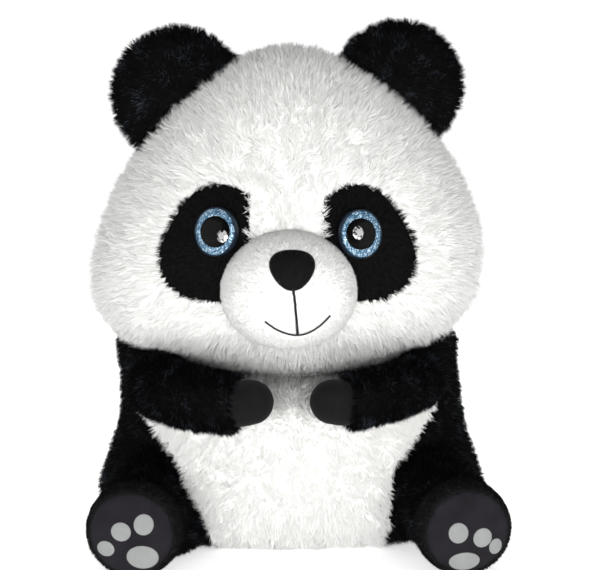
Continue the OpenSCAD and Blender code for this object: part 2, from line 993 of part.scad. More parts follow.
body_stuffing();
pellet_bag();
pellets();
belly_panel();
back_panel_left();
back_panel_right();
seat_panel();
closing_stitches();
tail_cover();
tail_stuffing();
neck_stuffing();
neck_stitching();
head_stuffing();
face_panel_left();
face_panel_right();
forehead_gusset();
head_back_left();
head_back_right();
muzzle_panel();
eye_patch_left();
eye_patch_right();
nose();
mouth_stitching();
eye_back_left();
eye_back_right();
eye_ring_left();
eye_ring_right();
pupil_left();
pupil_right();
eye_lens_left();
eye_lens_right();
eye_gem_left();
eye_gem_right();
lock_washer_left();
lock_washer_right();
ear_front_left();
ear_front_right();
ear_back_left();
ear_back_right();
ear_stuffing_left();
ear_stuffing_right();
sleeve_left();
sleeve_right();
hand_left();
hand_right();
arm_stuffing_left();
arm_stuffing_right();
leg_cover_left();
leg_cover_right();
boot_left();
boot_right();
sole_left();
sole_right();
sole_spots_left();
sole_spots_right();
leg_stuffing_left();
leg_stuffing_right();
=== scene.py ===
"""Looks of the seated plush panda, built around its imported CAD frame.

Lengths in this file are millimetres measured from the body's axis at floor level, as in the part's
source, unless a name ends in _M. put() and to_frame() turn them into the frame's metres.
"""

import json
import math

import bmesh
import bpy
import numpy as np
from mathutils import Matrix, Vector, kdtree
from mathutils.bvhtree import BVHTree


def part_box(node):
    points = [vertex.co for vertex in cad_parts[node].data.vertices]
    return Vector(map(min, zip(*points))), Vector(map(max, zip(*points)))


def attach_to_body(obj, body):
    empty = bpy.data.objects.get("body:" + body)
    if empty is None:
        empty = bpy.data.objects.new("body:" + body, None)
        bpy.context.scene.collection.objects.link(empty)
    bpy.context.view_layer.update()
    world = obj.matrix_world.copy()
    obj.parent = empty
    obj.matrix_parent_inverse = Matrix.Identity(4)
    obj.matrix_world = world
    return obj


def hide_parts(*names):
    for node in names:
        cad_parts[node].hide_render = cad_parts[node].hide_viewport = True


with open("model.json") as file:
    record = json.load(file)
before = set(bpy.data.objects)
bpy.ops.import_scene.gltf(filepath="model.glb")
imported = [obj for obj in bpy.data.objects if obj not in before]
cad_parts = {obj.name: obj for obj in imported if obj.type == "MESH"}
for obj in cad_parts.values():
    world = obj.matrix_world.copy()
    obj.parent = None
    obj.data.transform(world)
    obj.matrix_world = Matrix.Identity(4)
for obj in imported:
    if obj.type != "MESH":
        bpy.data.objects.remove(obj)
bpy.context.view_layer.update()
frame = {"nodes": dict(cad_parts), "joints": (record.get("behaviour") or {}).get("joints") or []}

MM = 0.001
UP = np.array([0.0, 0.0, 1.0])
JOINTS = {joint["name"]: joint for joint in frame["joints"]}
LEFT, RIGHT = -1, 1
SIDES = {"left": LEFT, "right": RIGHT}


def unit(v):
    """Vectors of length 1, along the last axis."""
    v = np.asarray(v, float)
    return v / np.maximum(np.linalg.norm(v, axis=-1, keepdims=True), 1e-9)


# The body's axis stands behind the origin, where the neck's stitching has its middle
neck_low, neck_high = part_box("neck_stitching")
AXIS = np.array([0.0, (neck_low.y + neck_high.y) / 2 / MM, 0.0])


def to_frame(points):
    """Metres in the row's frame from millimetres round the body's axis."""
    return (np.asarray(points, float) + AXIS) * MM


def from_frame(points):
    """Millimetres round the body's axis from metres in the row's frame."""
    return np.asarray(points, float) / MM - AXIS


def corners(*nodes):
    """Lowest and highest corner of some CAD nodes together."""
    boxes = [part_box(node) for node in nodes]
    low = np.min([box[0] for box in boxes], axis=0)
    high = np.max([box[1] for box in boxes], axis=0)
    return from_frame(low), from_frame(high)


def node_points(node):
    """The points of a CAD node's mesh."""
    return from_frame([v.co for v in frame["nodes"][node].data.vertices])


# ---------- Shape of the head, by the same rules as the CAD cloth ----------

HEAD_PANELS = (
    "face_panel_left", "face_panel_right", "forehead_gusset", "head_back_left", "head_back_right",
)
head_low_corner, head_high_corner = corners(*HEAD_PANELS)
# The head is filled a little narrower and higher than the CAD's
HEAD_W = 2 * head_high_corner[0] - 3
HEAD_TOP = head_high_corner[2] + 1.5
HEAD_LOW = head_low_corner[2]
# The right cheek sits higher than the left one
CHEEK_Z = {"left": 236, "right": 261}
FACE_Z = 240
SEAM_Y = -5
FACE_DEPTH = 120
NAPE_DEPTH = head_high_corner[1] - SEAM_Y
HEAD_MID = np.array([-2.3, SEAM_Y, 229.0])
SEAM_THETA = 94

MUZZLE_TIP_Y = corners("muzzle_panel")[0][1]
MUZZLE_W = 116
MUZZLE_H = 104
MUZZLE_REACH = 50
FACE_FLAT = FACE_DEPTH - 3
# Middle and half of the angle round the face that a patch takes
PATCH_MID, PATCH_HALF = 32.5, 39.5
PATCH_RISE = {"left": 26.7, "right": 25.5}
PATCH_INNER = {"left": 36, "right": 28}


def cosd(a):
    return np.cos(np.radians(a))


def sind(a):
    return np.sin(np.radians(a))


def eased(t):
    """Rises smoothly from 0 at t = 0 to 1 at t = 1."""
    t = np.clip(t, 0, 1)
    return t * t * (3 - 2 * t)


def fall(t, p, q):
    """Falls smoothly from 1 at t = 0 to 0 at t = 1."""
    return np.maximum(0, 1 - np.maximum(t, 0) ** p) ** (1 / q)


def oval(x, y, a, b):
    """Less than 1 inside a rounded oval with half sizes a and b."""
    return (np.abs(x) / np.maximum(a, 0.01)) ** 2.1 + (np.abs(y) / np.maximum(b, 0.01)) ** 2.1


def head_share(z, middle, p, q):
    """Width or depth of the head at a height, as a share of its largest at middle."""
    above = fall((z - middle) / (HEAD_TOP - middle), p, q)
    below = fall((middle - z) / (middle - HEAD_LOW), 2.7, 2.3)
    return np.where(z > middle, above, below)


def in_head(p):
    x, y, z = p[..., 0], p[..., 1] - SEAM_Y, p[..., 2]
    depth = np.where(y < 0, FACE_DEPTH, NAPE_DEPTH) * head_share(z, FACE_Z, 2, 2)
    cheek = np.where(x > 0, CHEEK_Z["right"], CHEEK_Z["left"])
    inside = oval(x, y, HEAD_W / 2 * head_share(z, cheek, 1.65, 1.7), depth) < 1
    return inside & (z > HEAD_LOW) & (z < HEAD_TOP)


def reach(start, rays, inside):
    """Distance from start along each ray to the surface of a shape."""
    low = np.zeros(rays.shape[:-1])
    high = np.full(rays.shape[:-1], 300.0)
    for _ in range(18):
        middle = (low + high) / 2
        hit = inside(start + middle[..., None] * rays)
        low = np.where(hit, middle, low)
        high = np.where(hit, high, middle)
    return (low + high) / 2


def head_ray(theta, phi):
    """Direction at theta from straight ahead, turned by phi round the middle of the face."""
    return np.stack([sind(theta) * cosd(phi), -cosd(theta), sind(theta) * sind(phi)], axis=-1)


def muzzle_theta(phi):
    """Angle from the middle of the muzzle to its seam."""
    a, b = MUZZLE_W / 2, MUZZLE_H / 2
    half = a * b / np.sqrt((b * cosd(phi)) ** 2 + (a * sind(phi)) ** 2)
    return np.degrees(np.arctan(half / FACE_FLAT))


def patch_theta(phi):
    """Angle to the outer edge of an eye patch, or to the muzzle where there is no patch."""
    beside = np.where(np.abs(phi) > 90, np.sign(phi) * 180 - phi, phi)
    u = np.minimum(np.abs(beside - PATCH_MID) / PATCH_HALF, 1)
    rise = np.where(np.abs(phi) > 90, PATCH_RISE["left"], PATCH_RISE["right"])
    return muzzle_theta(phi) + rise * np.sqrt(1 - u ** 3)


def head_point(theta, phi, drop=0.0):
    """A place on the head, drop below its surface. Within the muzzle's seam, the muzzle bulges out."""
    theta, phi = np.broadcast_arrays(np.asarray(theta, float), np.asarray(phi, float))
    edge = muzzle_theta(phi)
    inner = theta < edge
    far = reach(HEAD_MID, head_ray(np.where(inner, edge, theta), phi), in_head)
    q = np.minimum(theta / edge, 1)
    side = np.zeros(1)
    face = reach(HEAD_MID, head_ray(muzzle_theta(side), side), in_head)[0]
    bulge = (face - far) * (1 - q * q) + MUZZLE_REACH * (1 - q * q) ** 0.75
    far = far + np.where(inner, bulge, 0)
    return HEAD_MID + (far - drop)[..., None] * head_ray(theta, phi)


def head_angles(points):
    """theta and phi of points on the head."""
    away = points - HEAD_MID
    theta = np.degrees(np.arccos(np.clip(-unit(away)[..., 1], -1, 1)))
    return theta, np.degrees(np.arctan2(away[..., 2], away[..., 0]))


# ---------- Shape of the body ----------

BODY_W = 296
BODY_TOP = corners("neck_stuffing")[0][2]
BELLY_DEPTH = 112
BACK_DEPTH = 104
BODY_MID = np.array([0, 0, 66.0])
HIP_Z = 70
BELOW_FLOOR = 25
BELLY_END = 128
SEAT_TOP = 6
# Width of the body at some heights, as a share of the CAD's: broad hips, and shoulders beside the head
SPREAD_AT = [0, 20, 45, 60, 80, 97, 112, 125, 135, 141]
SPREAD = [1.17, 1.21, 1.19, 1.15, 1.10, 1.06, 1.04, 1.13, 1.38, 1.7]
SHOULDER_RISE = 48
# How far the body has settled sideways under the head
BODY_SHIFT = 4


def body_share(z):
    above = fall((z - HIP_Z) / (BODY_TOP - HIP_Z), 5, 2.6)
    below = fall((HIP_Z - z) / (HIP_Z + BELOW_FLOOR), 3, 2.2)
    return np.where(z > HIP_Z, above, below)


def in_body(p):
    share = body_share(p[..., 2])
    depth = np.where(p[..., 1] < 0, BELLY_DEPTH, BACK_DEPTH) * share
    inside = oval(p[..., 0], p[..., 1], BODY_W / 2 * share, depth) < 1
    return inside & (p[..., 2] > 0) & (p[..., 2] < BODY_TOP)


def body_point(theta, phi, drop=0.0):
    theta, phi = np.broadcast_arrays(np.asarray(theta, float), np.asarray(phi, float))
    rays = np.stack([sind(theta) * cosd(phi), sind(theta) * sind(phi), cosd(theta)], axis=-1)
    points = BODY_MID + (reach(BODY_MID, rays, in_body) - drop)[..., None] * rays
    points[..., 2] = np.maximum(points[..., 2], 0.6)
    return points


# The panel's two side seams are not sewn alike: their shares of that angle from the arms down
SEAM_AT = [75, 98, 118]
SEAM_LEFT = [1, 1.07, 0.97]
SEAM_RIGHT = [0.95, 1.02, 1.13]


def belly_half(theta):
    """Half the angle that the belly panel takes, which narrows downwards."""
    return 40 + 42 / (1 + np.exp((theta - 73.5) / 7)) - 30 / (1 + np.exp((theta - 60) / 3))


def fill_out(points):
    """Gives the body its filled shape, with the shoulders pushed up beside the head."""
    points = points.copy()
    z = points[..., 2].copy()
    points[..., 0] *= np.interp(z, SPREAD_AT, SPREAD)
    outside = eased((np.abs(points[..., 0]) - 85) / 50)
    points[..., 2] += SHOULDER_RISE * outside * np.clip((z - 100) / 35, 0, 1)
    points[..., 0] += BODY_SHIFT * np.clip((171 - points[..., 2]) / 46, 0, 1)
    return points


def body_angles(points):
    """theta down from the top and phi round the body, which is -90 at the belly."""
    away = points - BODY_MID
    theta = np.degrees(np.arccos(np.clip(unit(away)[:, 2], -1, 1)))
    return theta, np.degrees(np.arctan2(away[:, 1], away[:, 0]))


def on_belly(points):
    theta, phi = body_angles(points)
    left = np.interp(theta, SEAM_AT, SEAM_LEFT)
    right = np.interp(theta, SEAM_AT, SEAM_RIGHT)
    half = belly_half(theta) * np.where(points[..., 0] > 0, right, left)
    return (np.abs(phi + 90) < half) & (theta < BELLY_END)


# ---------- Meshes ----------

def put(name, points, faces, material=None, smooth=True):
    """A new mesh object from points in millimetres."""
    mesh = bpy.data.meshes.new(name)
    mesh.from_pydata(to_frame(points).tolist(), [], [tuple(map(int, f)) for f in faces])
    mesh.validate()
    obj = bpy.data.objects.new(name, mesh)
    bpy.context.scene.collection.objects.link(obj)
    work = bmesh.new()
    work.from_mesh(mesh)
    bmesh.ops.recalc_face_normals(work, faces=work.faces)
    work.to_mesh(mesh)
    work.free()
    mesh.polygons.foreach_set("use_smooth", [smooth] * len(mesh.polygons))
    if material:
        mesh.materials.append(material)
    return obj


def loft(rings, first=None, last=None):
    """Points and faces of a tube of rings, each closed by a pole where one is given."""
    rings = np.asarray(rings, float)
    rows, cols = rings.shape[:2]
    points = rings.reshape(-1, 3)
    faces = []
    for i in range(rows - 1):
        for j in range(cols):
            k = (j + 1) % cols
            faces.append((i * cols + j, i * cols + k, (i + 1) * cols + k, (i + 1) * cols + j))
    for pole, row in ((first, 0), (last, rows - 1)):
        if pole is None:
            continue
        points = np.vstack([points, pole])
        tip = len(points) - 1
        faces += [(tip, row * cols + j, row * cols + (j + 1) % cols) for j in range(cols)]
    return points, faces


def mesh_points(obj):
    co = np.empty(len(obj.data.vertices) * 3)
    obj.data.vertices.foreach_get("co", co)
    return from_frame(co.reshape(-1, 3))


def set_points(obj, points):
    obj.data.vertices.foreach_set("co", to_frame(points).ravel())
    obj.data.update()


def bake_modifiers(obj):
    """Applies an object's modifiers."""
    bpy.context.view_layer.update()
    graph = bpy.context.evaluated_depsgraph_get()
    made = bpy.data.meshes.new_from_object(obj.evaluated_get(graph))
    obj.modifiers.clear()
    obj.data = made


def subdivide(obj):
    modifier = obj.modifiers.new("smooth", "SUBSURF")
    modifier.levels = modifier.render_levels = 1
    bake_modifiers(obj)


CLOTH_FRAMES = 20


def swell(obj, hold, cap, pressure=4.0):
    """Swells a closed cover with simulated cloth, by up to cap. hold is 1 on a seam and 0 away from it."""
    rest = mesh_points(obj)
    pins = obj.vertex_groups.new(name="pins")
    steps = np.round(np.clip(hold, 0, 1) * 4).astype(int)
    for step in range(5):
        pins.add(np.flatnonzero(steps == step).tolist(), step / 4, "REPLACE")
    cloth = obj.modifiers.new("cloth", "CLOTH")
    cloth.settings.quality = 5
    cloth.settings.mass = 0.2
    cloth.settings.use_pressure = True
    cloth.settings.uniform_pressure_force = pressure
    cloth.settings.vertex_group_mass = "pins"
    cloth.settings.effector_weights.gravity = 0
    cloth.collision_settings.use_collision = False
    scene = bpy.context.scene
    for number in range(1, CLOTH_FRAMES + 1):
        scene.frame_set(number)
    graph = bpy.context.evaluated_depsgraph_get()
    made = obj.evaluated_get(graph).to_mesh()
    co = np.empty(len(made.vertices) * 3)
    made.vertices.foreach_get("co", co)
    obj.evaluated_get(graph).to_mesh_clear()
    obj.modifiers.clear()
    obj.vertex_groups.clear()
    scene.frame_set(1)
    move = from_frame(co.reshape(-1, 3)) - rest
    size = np.maximum(np.linalg.norm(move, axis=1, keepdims=True), 1e-9)
    set_points(obj, rest + move / size * cap * np.tanh(size / cap))


def keep_faces(obj, name, chosen):
    """A copy of obj named name that holds only the chosen faces."""
    mesh = obj.data.copy()
    mesh.name = name
    work = bmesh.new()
    work.from_mesh(mesh)
    work.faces.ensure_lookup_table()
    bmesh.ops.delete(work, geom=[f for f, keep in zip(work.faces, chosen) if not keep], context="FACES")
    work.to_mesh(mesh)
    work.free()
    copy = bpy.data.objects.new(name, mesh)
    bpy.context.scene.collection.objects.link(copy)
    return copy


def face_middles(obj):
    co = np.empty(len(obj.data.polygons) * 3)
    obj.data.polygons.foreach_get("center", co)
    return from_frame(co.reshape(-1, 3))


# ---------- Pieces ----------

def dress(piece, material, slot, body, stands_for, fill=0.8):
    """Gives a stuffed piece of cloth its material, hangs it on its body and hides the CAD nodes that it
    stands for.
    """
    piece.data.materials.append(material)
    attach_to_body(piece, body)
    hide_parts(*stands_for)


def add_skin(name, skin, chosen, *facts):
    """Part of a closed cover as a piece of its own."""
    dress(keep_faces(skin, name, chosen), *facts)


def add_whole_skin(name, skin, *facts):
    add_skin(name, skin, [True] * len(skin.data.polygons), *facts)


def attach(piece, body, slot, *stands_for):
    """Hangs a piece that isn't stuffed on its body, and hides the CAD nodes that it stands for."""
    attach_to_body(piece, body)
    if stands_for:
        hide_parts(*stands_for)


# ---------- Pile ----------

CLUMP, TUFT, UNEVEN = 0.45, 3.2, 0.35
PILE_LOWEST = 0.4


def waves(points, size, seed):
    """Smooth noise in space with features of about the given size, made of plane waves."""
    count = 14
    rng = np.random.default_rng(seed)
    k = unit(rng.normal(size=(count, 3))) * 2 * math.pi / size * rng.uniform(0.6, 1.7, (count, 1))
    return np.sin(points @ k.T + rng.uniform(0, 6.28, count)).sum(1) / math.sqrt(count / 2)


def everywhere(points):
    return np.ones(len(points))


def swirl(points, size, seed):
    return np.stack([waves(points, size, seed + i) for i in range(3)], axis=1)


def scatter(obj, count, rng):
    """Random points all over a mesh, with its smooth normals there."""
    mesh = obj.data
    mesh.calc_loop_triangles()
    tris = np.empty(len(mesh.loop_triangles) * 3, np.int32)
    mesh.loop_triangles.foreach_get("vertices", tris)
    tris = tris.reshape(-1, 3)
    points = mesh_points(obj)
    normals = np.empty(len(mesh.vertices) * 3)
    mesh.vertices.foreach_get("normal", normals)
    normals = normals.reshape(-1, 3)
    a, b, c = (points[tris[:, i]] for i in range(3))
    area = np.linalg.norm(np.cross(b - a, c - a), axis=1)
    pick = np.searchsorted(np.cumsum(area) / area.sum(), rng.random(count))
    u, v = rng.random((2, count))
    flip = u + v > 1
    u, v = np.where(flip, 1 - u, u), np.where(flip, 1 - v, v)
    share = np.stack([1 - u - v, u, v], axis=1)[..., None]
    return (points[tris[pick]] * share).sum(1), unit((normals[tris[pick]] * share).sum(1))


def pile(name, skin, material, count, length, comb, keep, width=0.42, lean=(20, 55), seed=1):
    """Plush as real tapered strands all over skin. keep(points) is the share of their length, or 0."""
    rng = np.random.default_rng(seed)
    roots, normals = scatter(skin, int(count), rng)
    share = np.asarray(keep(roots), float)
    roots, normals, share = roots[share > 0], normals[share > 0], share[share > 0]
    n = len(roots)
    flow = comb(roots) + UNEVEN * swirl(roots, 34, seed) + 0.8 * UNEVEN * swirl(roots, 9, seed + 5)
    flow += 0.35 * rng.normal(size=(n, 3))
    flow = unit(flow - (flow * normals).sum(1, keepdims=True) * normals)
    tilt = np.radians(rng.uniform(*lean, n))[:, None]
    fibre = unit(normals * np.cos(tilt) + flow * np.sin(tilt))
    grown = length * share * rng.uniform(0.72, 1.12, n) * (1 + 0.1 * waves(roots, 14, seed + 9))
    tips = roots + fibre * grown[:, None]

    # Fibres gather in small tufts
    leaders = np.arange(0, n, max(1, int(TUFT ** 2)))
    tree = kdtree.KDTree(len(leaders))
    for i in leaders:
        tree.insert(roots[i], int(i))
    tree.balance()
    leader = np.fromiter((tree.find(p)[1] for p in roots), np.int64, n)
    pull = (CLUMP * rng.uniform(0.4, 1.2, n))[:, None]
    tips += (tips[leader] - tips) * pull
    tips[:, 2] = np.maximum(tips[:, 2], PILE_LOWEST)

    axis = unit(tips - roots)
    across = unit(np.cross(axis, rng.normal(size=(n, 3))))
    third = np.cross(axis, across)
    points = np.empty((n, 4, 3))
    base = roots - 0.8 * normals
    for k in range(3):
        points[:, k] = base + width * (cosd(120 * k) * across + sind(120 * k) * third)
    points[:, 3] = tips
    sides = np.array([[0, 1, 3], [1, 2, 3], [2, 0, 3]])
    faces = (sides[None] + 4 * np.arange(n)[:, None, None]).reshape(-1)

    mesh = bpy.data.meshes.new(name)
    mesh.vertices.add(4 * n)
    mesh.vertices.foreach_set("co", to_frame(points.reshape(-1, 3)).ravel())
    mesh.loops.add(9 * n)
    mesh.loops.foreach_set("vertex_index", faces.astype(np.int32))
    mesh.polygons.add(3 * n)
    mesh.polygons.foreach_set("loop_start", np.arange(0, 9 * n, 3, dtype=np.int32))
    mesh.update(calc_edges=True)
    mesh.polygons.foreach_set("use_smooth", np.ones(3 * n, bool))

    # Fibres shade with the cloth that they grow from, each turned a little its own way
    soft = unit(normals + 0.3 * rng.normal(size=(n, 3)) + 0.25 * fibre)
    shade = np.repeat(soft, 4, axis=0).astype(np.float32)
    mesh.normals_split_custom_set_from_vertices(shade)

    # The layer holds how far along its fibre a point is, and a tone for each fibre
    tone = np.clip(0.5 + 0.16 * waves(roots, 22, seed + 3) + 0.2 * rng.normal(size=n), 0.01, 0.99)
    along = np.tile([0.02, 0.02, 0.02, 0.98], (n, 1))
    corner = np.stack([along.reshape(-1)[faces], np.repeat(tone, 9)], axis=1)
    layer = mesh.uv_layers.new(name="OFBake")
    layer.data.foreach_set("uv", corner.astype(np.float32).ravel())

    mesh.materials.append(material)
    obj = bpy.data.objects.new(name, mesh)
    bpy.context.scene.collection.objects.link(obj)
    return obj


def add_pile(body, slot, *facts, **more):
    attach(pile(*facts, **more), body, slot)


# ---------- Materials ----------

class Shader:
    """A material with one Principled shader, and short ways to add nodes to it."""

    def __init__(self, name, roughness=0.8, **sockets):
        self.material = bpy.data.materials.new(name)
        self.material.use_nodes = True
        self.tree = self.material.node_tree
        self.shader = self.tree.nodes["Principled BSDF"]
        self.shader.inputs["Roughness"].default_value = roughness
        for socket, value in sockets.items():
            self.shader.inputs[socket.replace("_", " ")].default_value = value

    def node(self, kind, **settings):
        made = self.tree.nodes.new("ShaderNode" + kind)
        for key, value in settings.items():
            if key in made.inputs:
                made.inputs[key].default_value = value
            else:
                setattr(made, key, value)
        return made

    def link(self, source, target):
        self.tree.links.new(source, target)

    def place(self):
        return self.node("TexCoord").outputs["Object"]

    def noise(self, scale, detail=3.0, roughness=0.55, distortion=0.0):
        made = self.node("TexNoise", Scale=scale, Detail=detail, Roughness=roughness, Distortion=distortion)
        self.link(self.place(), made.inputs["Vector"])
        return made.outputs["Fac"]

    def ramp(self, source, *stops):
        made = self.node("ValToRGB")
        band = made.color_ramp
        while len(band.elements) < len(stops):
            band.elements.new(0.5)
        for element, (position, colour) in zip(band.elements, stops):
            element.position = position
            element.color = (*colour, 1)
        self.link(source, made.inputs["Fac"])
        return made.outputs["Color"]

    def mix(self, share, a, b, blend="MIX"):
        made = self.node("Mix", data_type="RGBA", blend_type=blend)
        for value, socket in ((share, made.inputs[0]), (a, made.inputs[6]), (b, made.inputs[7])):
            if isinstance(value, (int, float)):
                socket.default_value = value
            elif isinstance(value, tuple):
                socket.default_value = (*value, 1)
            else:
                self.link(value, socket)
        return made.outputs[2]

    def colour(self, source):
        self.link(source, self.shader.inputs["Base Color"])

    def bump(self, height, distance_m, strength=1.0):
        made = self.node("Bump", Strength=strength, Distance=distance_m)
        self.link(height, made.inputs["Height"])
        self.link(made.outputs["Normal"], self.shader.inputs["Normal"])


def grey(value):
    return (value, value, value)


def fibre_place(made):
    """How far along its fibre a point is, as X, and the fibre's own tone, as Y."""
    layer = made.node("UVMap", uv_map="OFBake")
    parts = made.node("SeparateXYZ")
    made.link(layer.outputs["UV"], parts.inputs["Vector"])
    return parts


def fibre_material(name, shaded_root, tip, spread):
    """Pile: painted shade makes each fibre darker at the root than at the tip, with a tone of its own for
    each fibre.
    """
    made = Shader(name, 0.85, Sheen_Weight=0.3, Sheen_Roughness=0.5, Specular_IOR_Level=0.25)
    parts = fibre_place(made)
    # Painted shade towards the root of each fibre
    length = made.ramp(parts.outputs["X"], (0.0, shaded_root), (0.55, tip), (1.0, tip))
    tone = made.ramp(parts.outputs["Y"], (0.0, grey(1 - spread)), (0.5, grey(1.0)), (1.0, grey(1 + spread)))
    made.colour(made.mix(1.0, length, tone, "MULTIPLY"))
    return made.material


def glint_tipped_black(name, shaded_root, tip, tip_glint, share=0.9):
    """Black pile with painted shade towards each fibre's root, and a painted cool grey highlight on the
    tips of some fibres.
    """
    made = Shader(name, 0.55, Specular_IOR_Level=0.05)
    parts = fibre_place(made)
    # Painted shade at the root, and on some fibres a painted highlight at the tip
    length = made.ramp(parts.outputs["X"], (0.0, shaded_root), (1.0, tip))
    glinting_tips = made.ramp(parts.outputs["X"], (0.4, shaded_root), (1.0, tip_glint))
    chosen = made.ramp(parts.outputs["Y"], (share - 0.05, (0, 0, 0)), (share, (1, 1, 1)))
    made.colour(made.mix(chosen, length, glinting_tips))
    return made.material


def cloth_material(name, dark, light, grain=900.0, sheen=0.2):
    """Backing or short velour: fine fuzz over soft cloudy tones."""
    made = Shader(name, 0.9, Sheen_Weight=sheen, Sheen_Roughness=0.45, Specular_IOR_Level=0.1)
    clouds = made.ramp(made.noise(55, 4), (0.3, dark), (0.7, light))
    fuzz = made.noise(grain, 5, 0.7)
    made.colour(made.mix(0.35, clouds, made.ramp(fuzz, (0.35, dark), (0.65, light))))
    made.bump(fuzz, 0.0004, 0.7)
    return made.material


def thread_material(name, dark, light):
    """Twisted thread with a fine grain."""
    made = Shader(name, 0.55, Sheen_Weight=0.05, Specular_IOR_Level=0.15)
    grain = made.noise(2200, 3, 0.6, 1.5)
    made.colour(made.ramp(grain, (0.35, dark), (0.65, light)))
    made.bump(grain, 0.0001, 0.6)
    return made.material


def glitter_material(name):
    """Flakes under lacquer: each small cell has its own tone, tilt and shine, and the palest flakes are
    painted sparkle.
    """
    made = Shader(name, 0.3, Metallic=0.3, Coat_Weight=0.2, Coat_Roughness=0.1, Specular_IOR_Level=0.3)
    flakes = made.node("TexVoronoi", Scale=1400.0)
    made.link(made.place(), flakes.inputs["Vector"])
    parts = made.node("SeparateXYZ")
    made.link(flakes.outputs["Color"], parts.inputs["Vector"])
    # Dark to mid blue flakes; the palest, near white, are painted sparkle
    blues_and_sparkle = made.ramp(parts.outputs["X"], (0.0, (0.008, 0.03, 0.06)), (0.4, (0.022, 0.085, 0.16)),
                      (0.75, (0.06, 0.18, 0.30)), (0.93, (0.7, 0.88, 1.0)))
    made.colour(blues_and_sparkle)
    gloss = made.ramp(parts.outputs["Y"], (0, grey(0.15)), (1, grey(0.6)))
    made.link(gloss, made.shader.inputs["Roughness"])
    tilt = made.node("Bump", Strength=0.5, Distance=0.0004)
    made.link(parts.outputs["Z"], tilt.inputs["Height"])
    made.link(tilt.outputs["Normal"], made.shader.inputs["Normal"])
    return made.material


def plastic_material(name, dark, light, roughness, coat=0.0, shine=0.5):
    """Moulded plastic with a faint mottle and a very fine uneven skin."""
    made = Shader(name, roughness, Coat_Weight=coat, Coat_Roughness=0.03, Specular_IOR_Level=shine)
    made.colour(made.ramp(made.noise(160, 3), (0.35, dark), (0.65, light)))
    made.bump(made.noise(700, 2), 0.00003, 0.3)
    return made.material


def stone_glint_material(name, tone):
    """One kind of facet of a cut stone: a bright, mid or dark copy of one mirror-like look, as painted
    glint and painted shade.
    """
    made = Shader(name, 0.08, Metallic=0.7)
    made.colour(made.ramp(made.noise(900, 1), (0.3, grey(tone * 0.92)), (0.7, grey(tone))))
    return made.material


def woven_material(name, dark, light, threads_per_m=1400.0):
    """Plain weave: two sets of fine bands across each other."""
    made = Shader(name, 0.9, Sheen_Weight=0.3)
    bands = []
    for direction in ("X", "Y"):
        wave = made.node("TexWave", Scale=threads_per_m / 6.28, Distortion=0.4, bands_direction=direction)
        made.link(made.place(), wave.inputs["Vector"])
        bands.append(wave.outputs["Fac"])
    both = made.mix(0.5, bands[0], bands[1])
    made.colour(made.ramp(both, (0.3, dark), (0.7, light)))
    made.bump(both, 0.0002, 0.6)
    return made.material


# The darker root colour of each pile is painted shade, where the fibres shade each other
WHITE_SHADED_ROOT, WHITE_TIP = (0.83, 0.825, 0.80), (0.91, 0.91, 0.89)
BLACK_SHADED_ROOT, BLACK_TIP = (0.0004, 0.0004, 0.0005), (0.0014, 0.0015, 0.0018)
# Painted highlight: the cool grey on the tips of some black fibres
TIP_GLINT = (0.06, 0.07, 0.09)

white_pile = fibre_material("white_pile", WHITE_SHADED_ROOT, WHITE_TIP, 0.03)
muzzle_pile_look = fibre_material("muzzle_velour_pile", (0.78, 0.775, 0.75), (0.87, 0.87, 0.85), 0.02)
black_pile = glint_tipped_black("black_pile", BLACK_SHADED_ROOT, BLACK_TIP, TIP_GLINT)
patch_pile_look = glint_tipped_black("patch_pile", BLACK_SHADED_ROOT, grey(0.008), (0.02, 0.021, 0.023), 0.93)
boot_pile_look = glint_tipped_black("boot_pile", (0.002, 0.002, 0.0022), (0.006, 0.006, 0.007), grey(0.02), 0.9)
white_cloth = cloth_material("white_backing", WHITE_SHADED_ROOT, (0.86, 0.855, 0.84))
muzzle_cloth = cloth_material("muzzle_backing", (0.74, 0.73, 0.71), (0.84, 0.83, 0.82))
black_cloth = cloth_material("black_backing", grey(0.001), grey(0.003), sheen=0.0)
mitt_suede = cloth_material("mitt_suede", (0.0038, 0.0038, 0.0041), (0.0078, 0.0077, 0.0085), 1500, 0.03)
sole_suede = cloth_material("sole_suede", (0.007, 0.0063, 0.008), (0.0145, 0.0132, 0.0165), 1300, 0.05)
spot_velour = cloth_material("spot_velour", (0.20, 0.205, 0.203), (0.25, 0.257, 0.253), 1300, 0.05)
nose_velour = cloth_material("nose_velour", grey(0.004), grey(0.009), 1600, 0.05)
black_thread = thread_material("black_thread", grey(0.002), grey(0.009))
white_thread = thread_material("white_thread", grey(0.6), grey(0.85))
nose_pile_look = glint_tipped_black("nose_pile", grey(0.003), grey(0.009), grey(0.03), 0.9)
blue_glitter = glitter_material("blue_glitter_look")
pupil_gloss = plastic_material("pupil_gloss", grey(0.0008), grey(0.0016), 0.15, 0.06, 0.04)
rim_plastic = plastic_material(
    "eye_rim_plastic", (0.004, 0.009, 0.018), (0.008, 0.018, 0.032), 0.3, 0.1, 0.2)
washer_plastic = plastic_material("washer_plastic_look", grey(0.6), grey(0.7), 0.45)
bead_plastic = plastic_material("bead_plastic", (0.5, 0.47, 0.4), (0.62, 0.58, 0.5), 0.4)
pouch_cloth = woven_material("pouch_cloth", (0.6, 0.59, 0.56), (0.78, 0.77, 0.73))
# Painted glint and painted shade: a bright, a mid and a dark copy of the stone's look
stone_glint_looks = [stone_glint_material(f"stone_painted_glint_{i}", tone) for i, tone in enumerate((0.75, 0.25, 0.01))]


# ---------- Camera, light and floor ----------

VIEW_TARGET_Z = 225
VIEW_DISTANCE = 2200
VIEW_TURN = 2.0
VIEW_RISE = 5
VIEW_SHIFT = 11.7
FRAME_W_PX = 600
SCALE_MM_PER_PX = 0.9


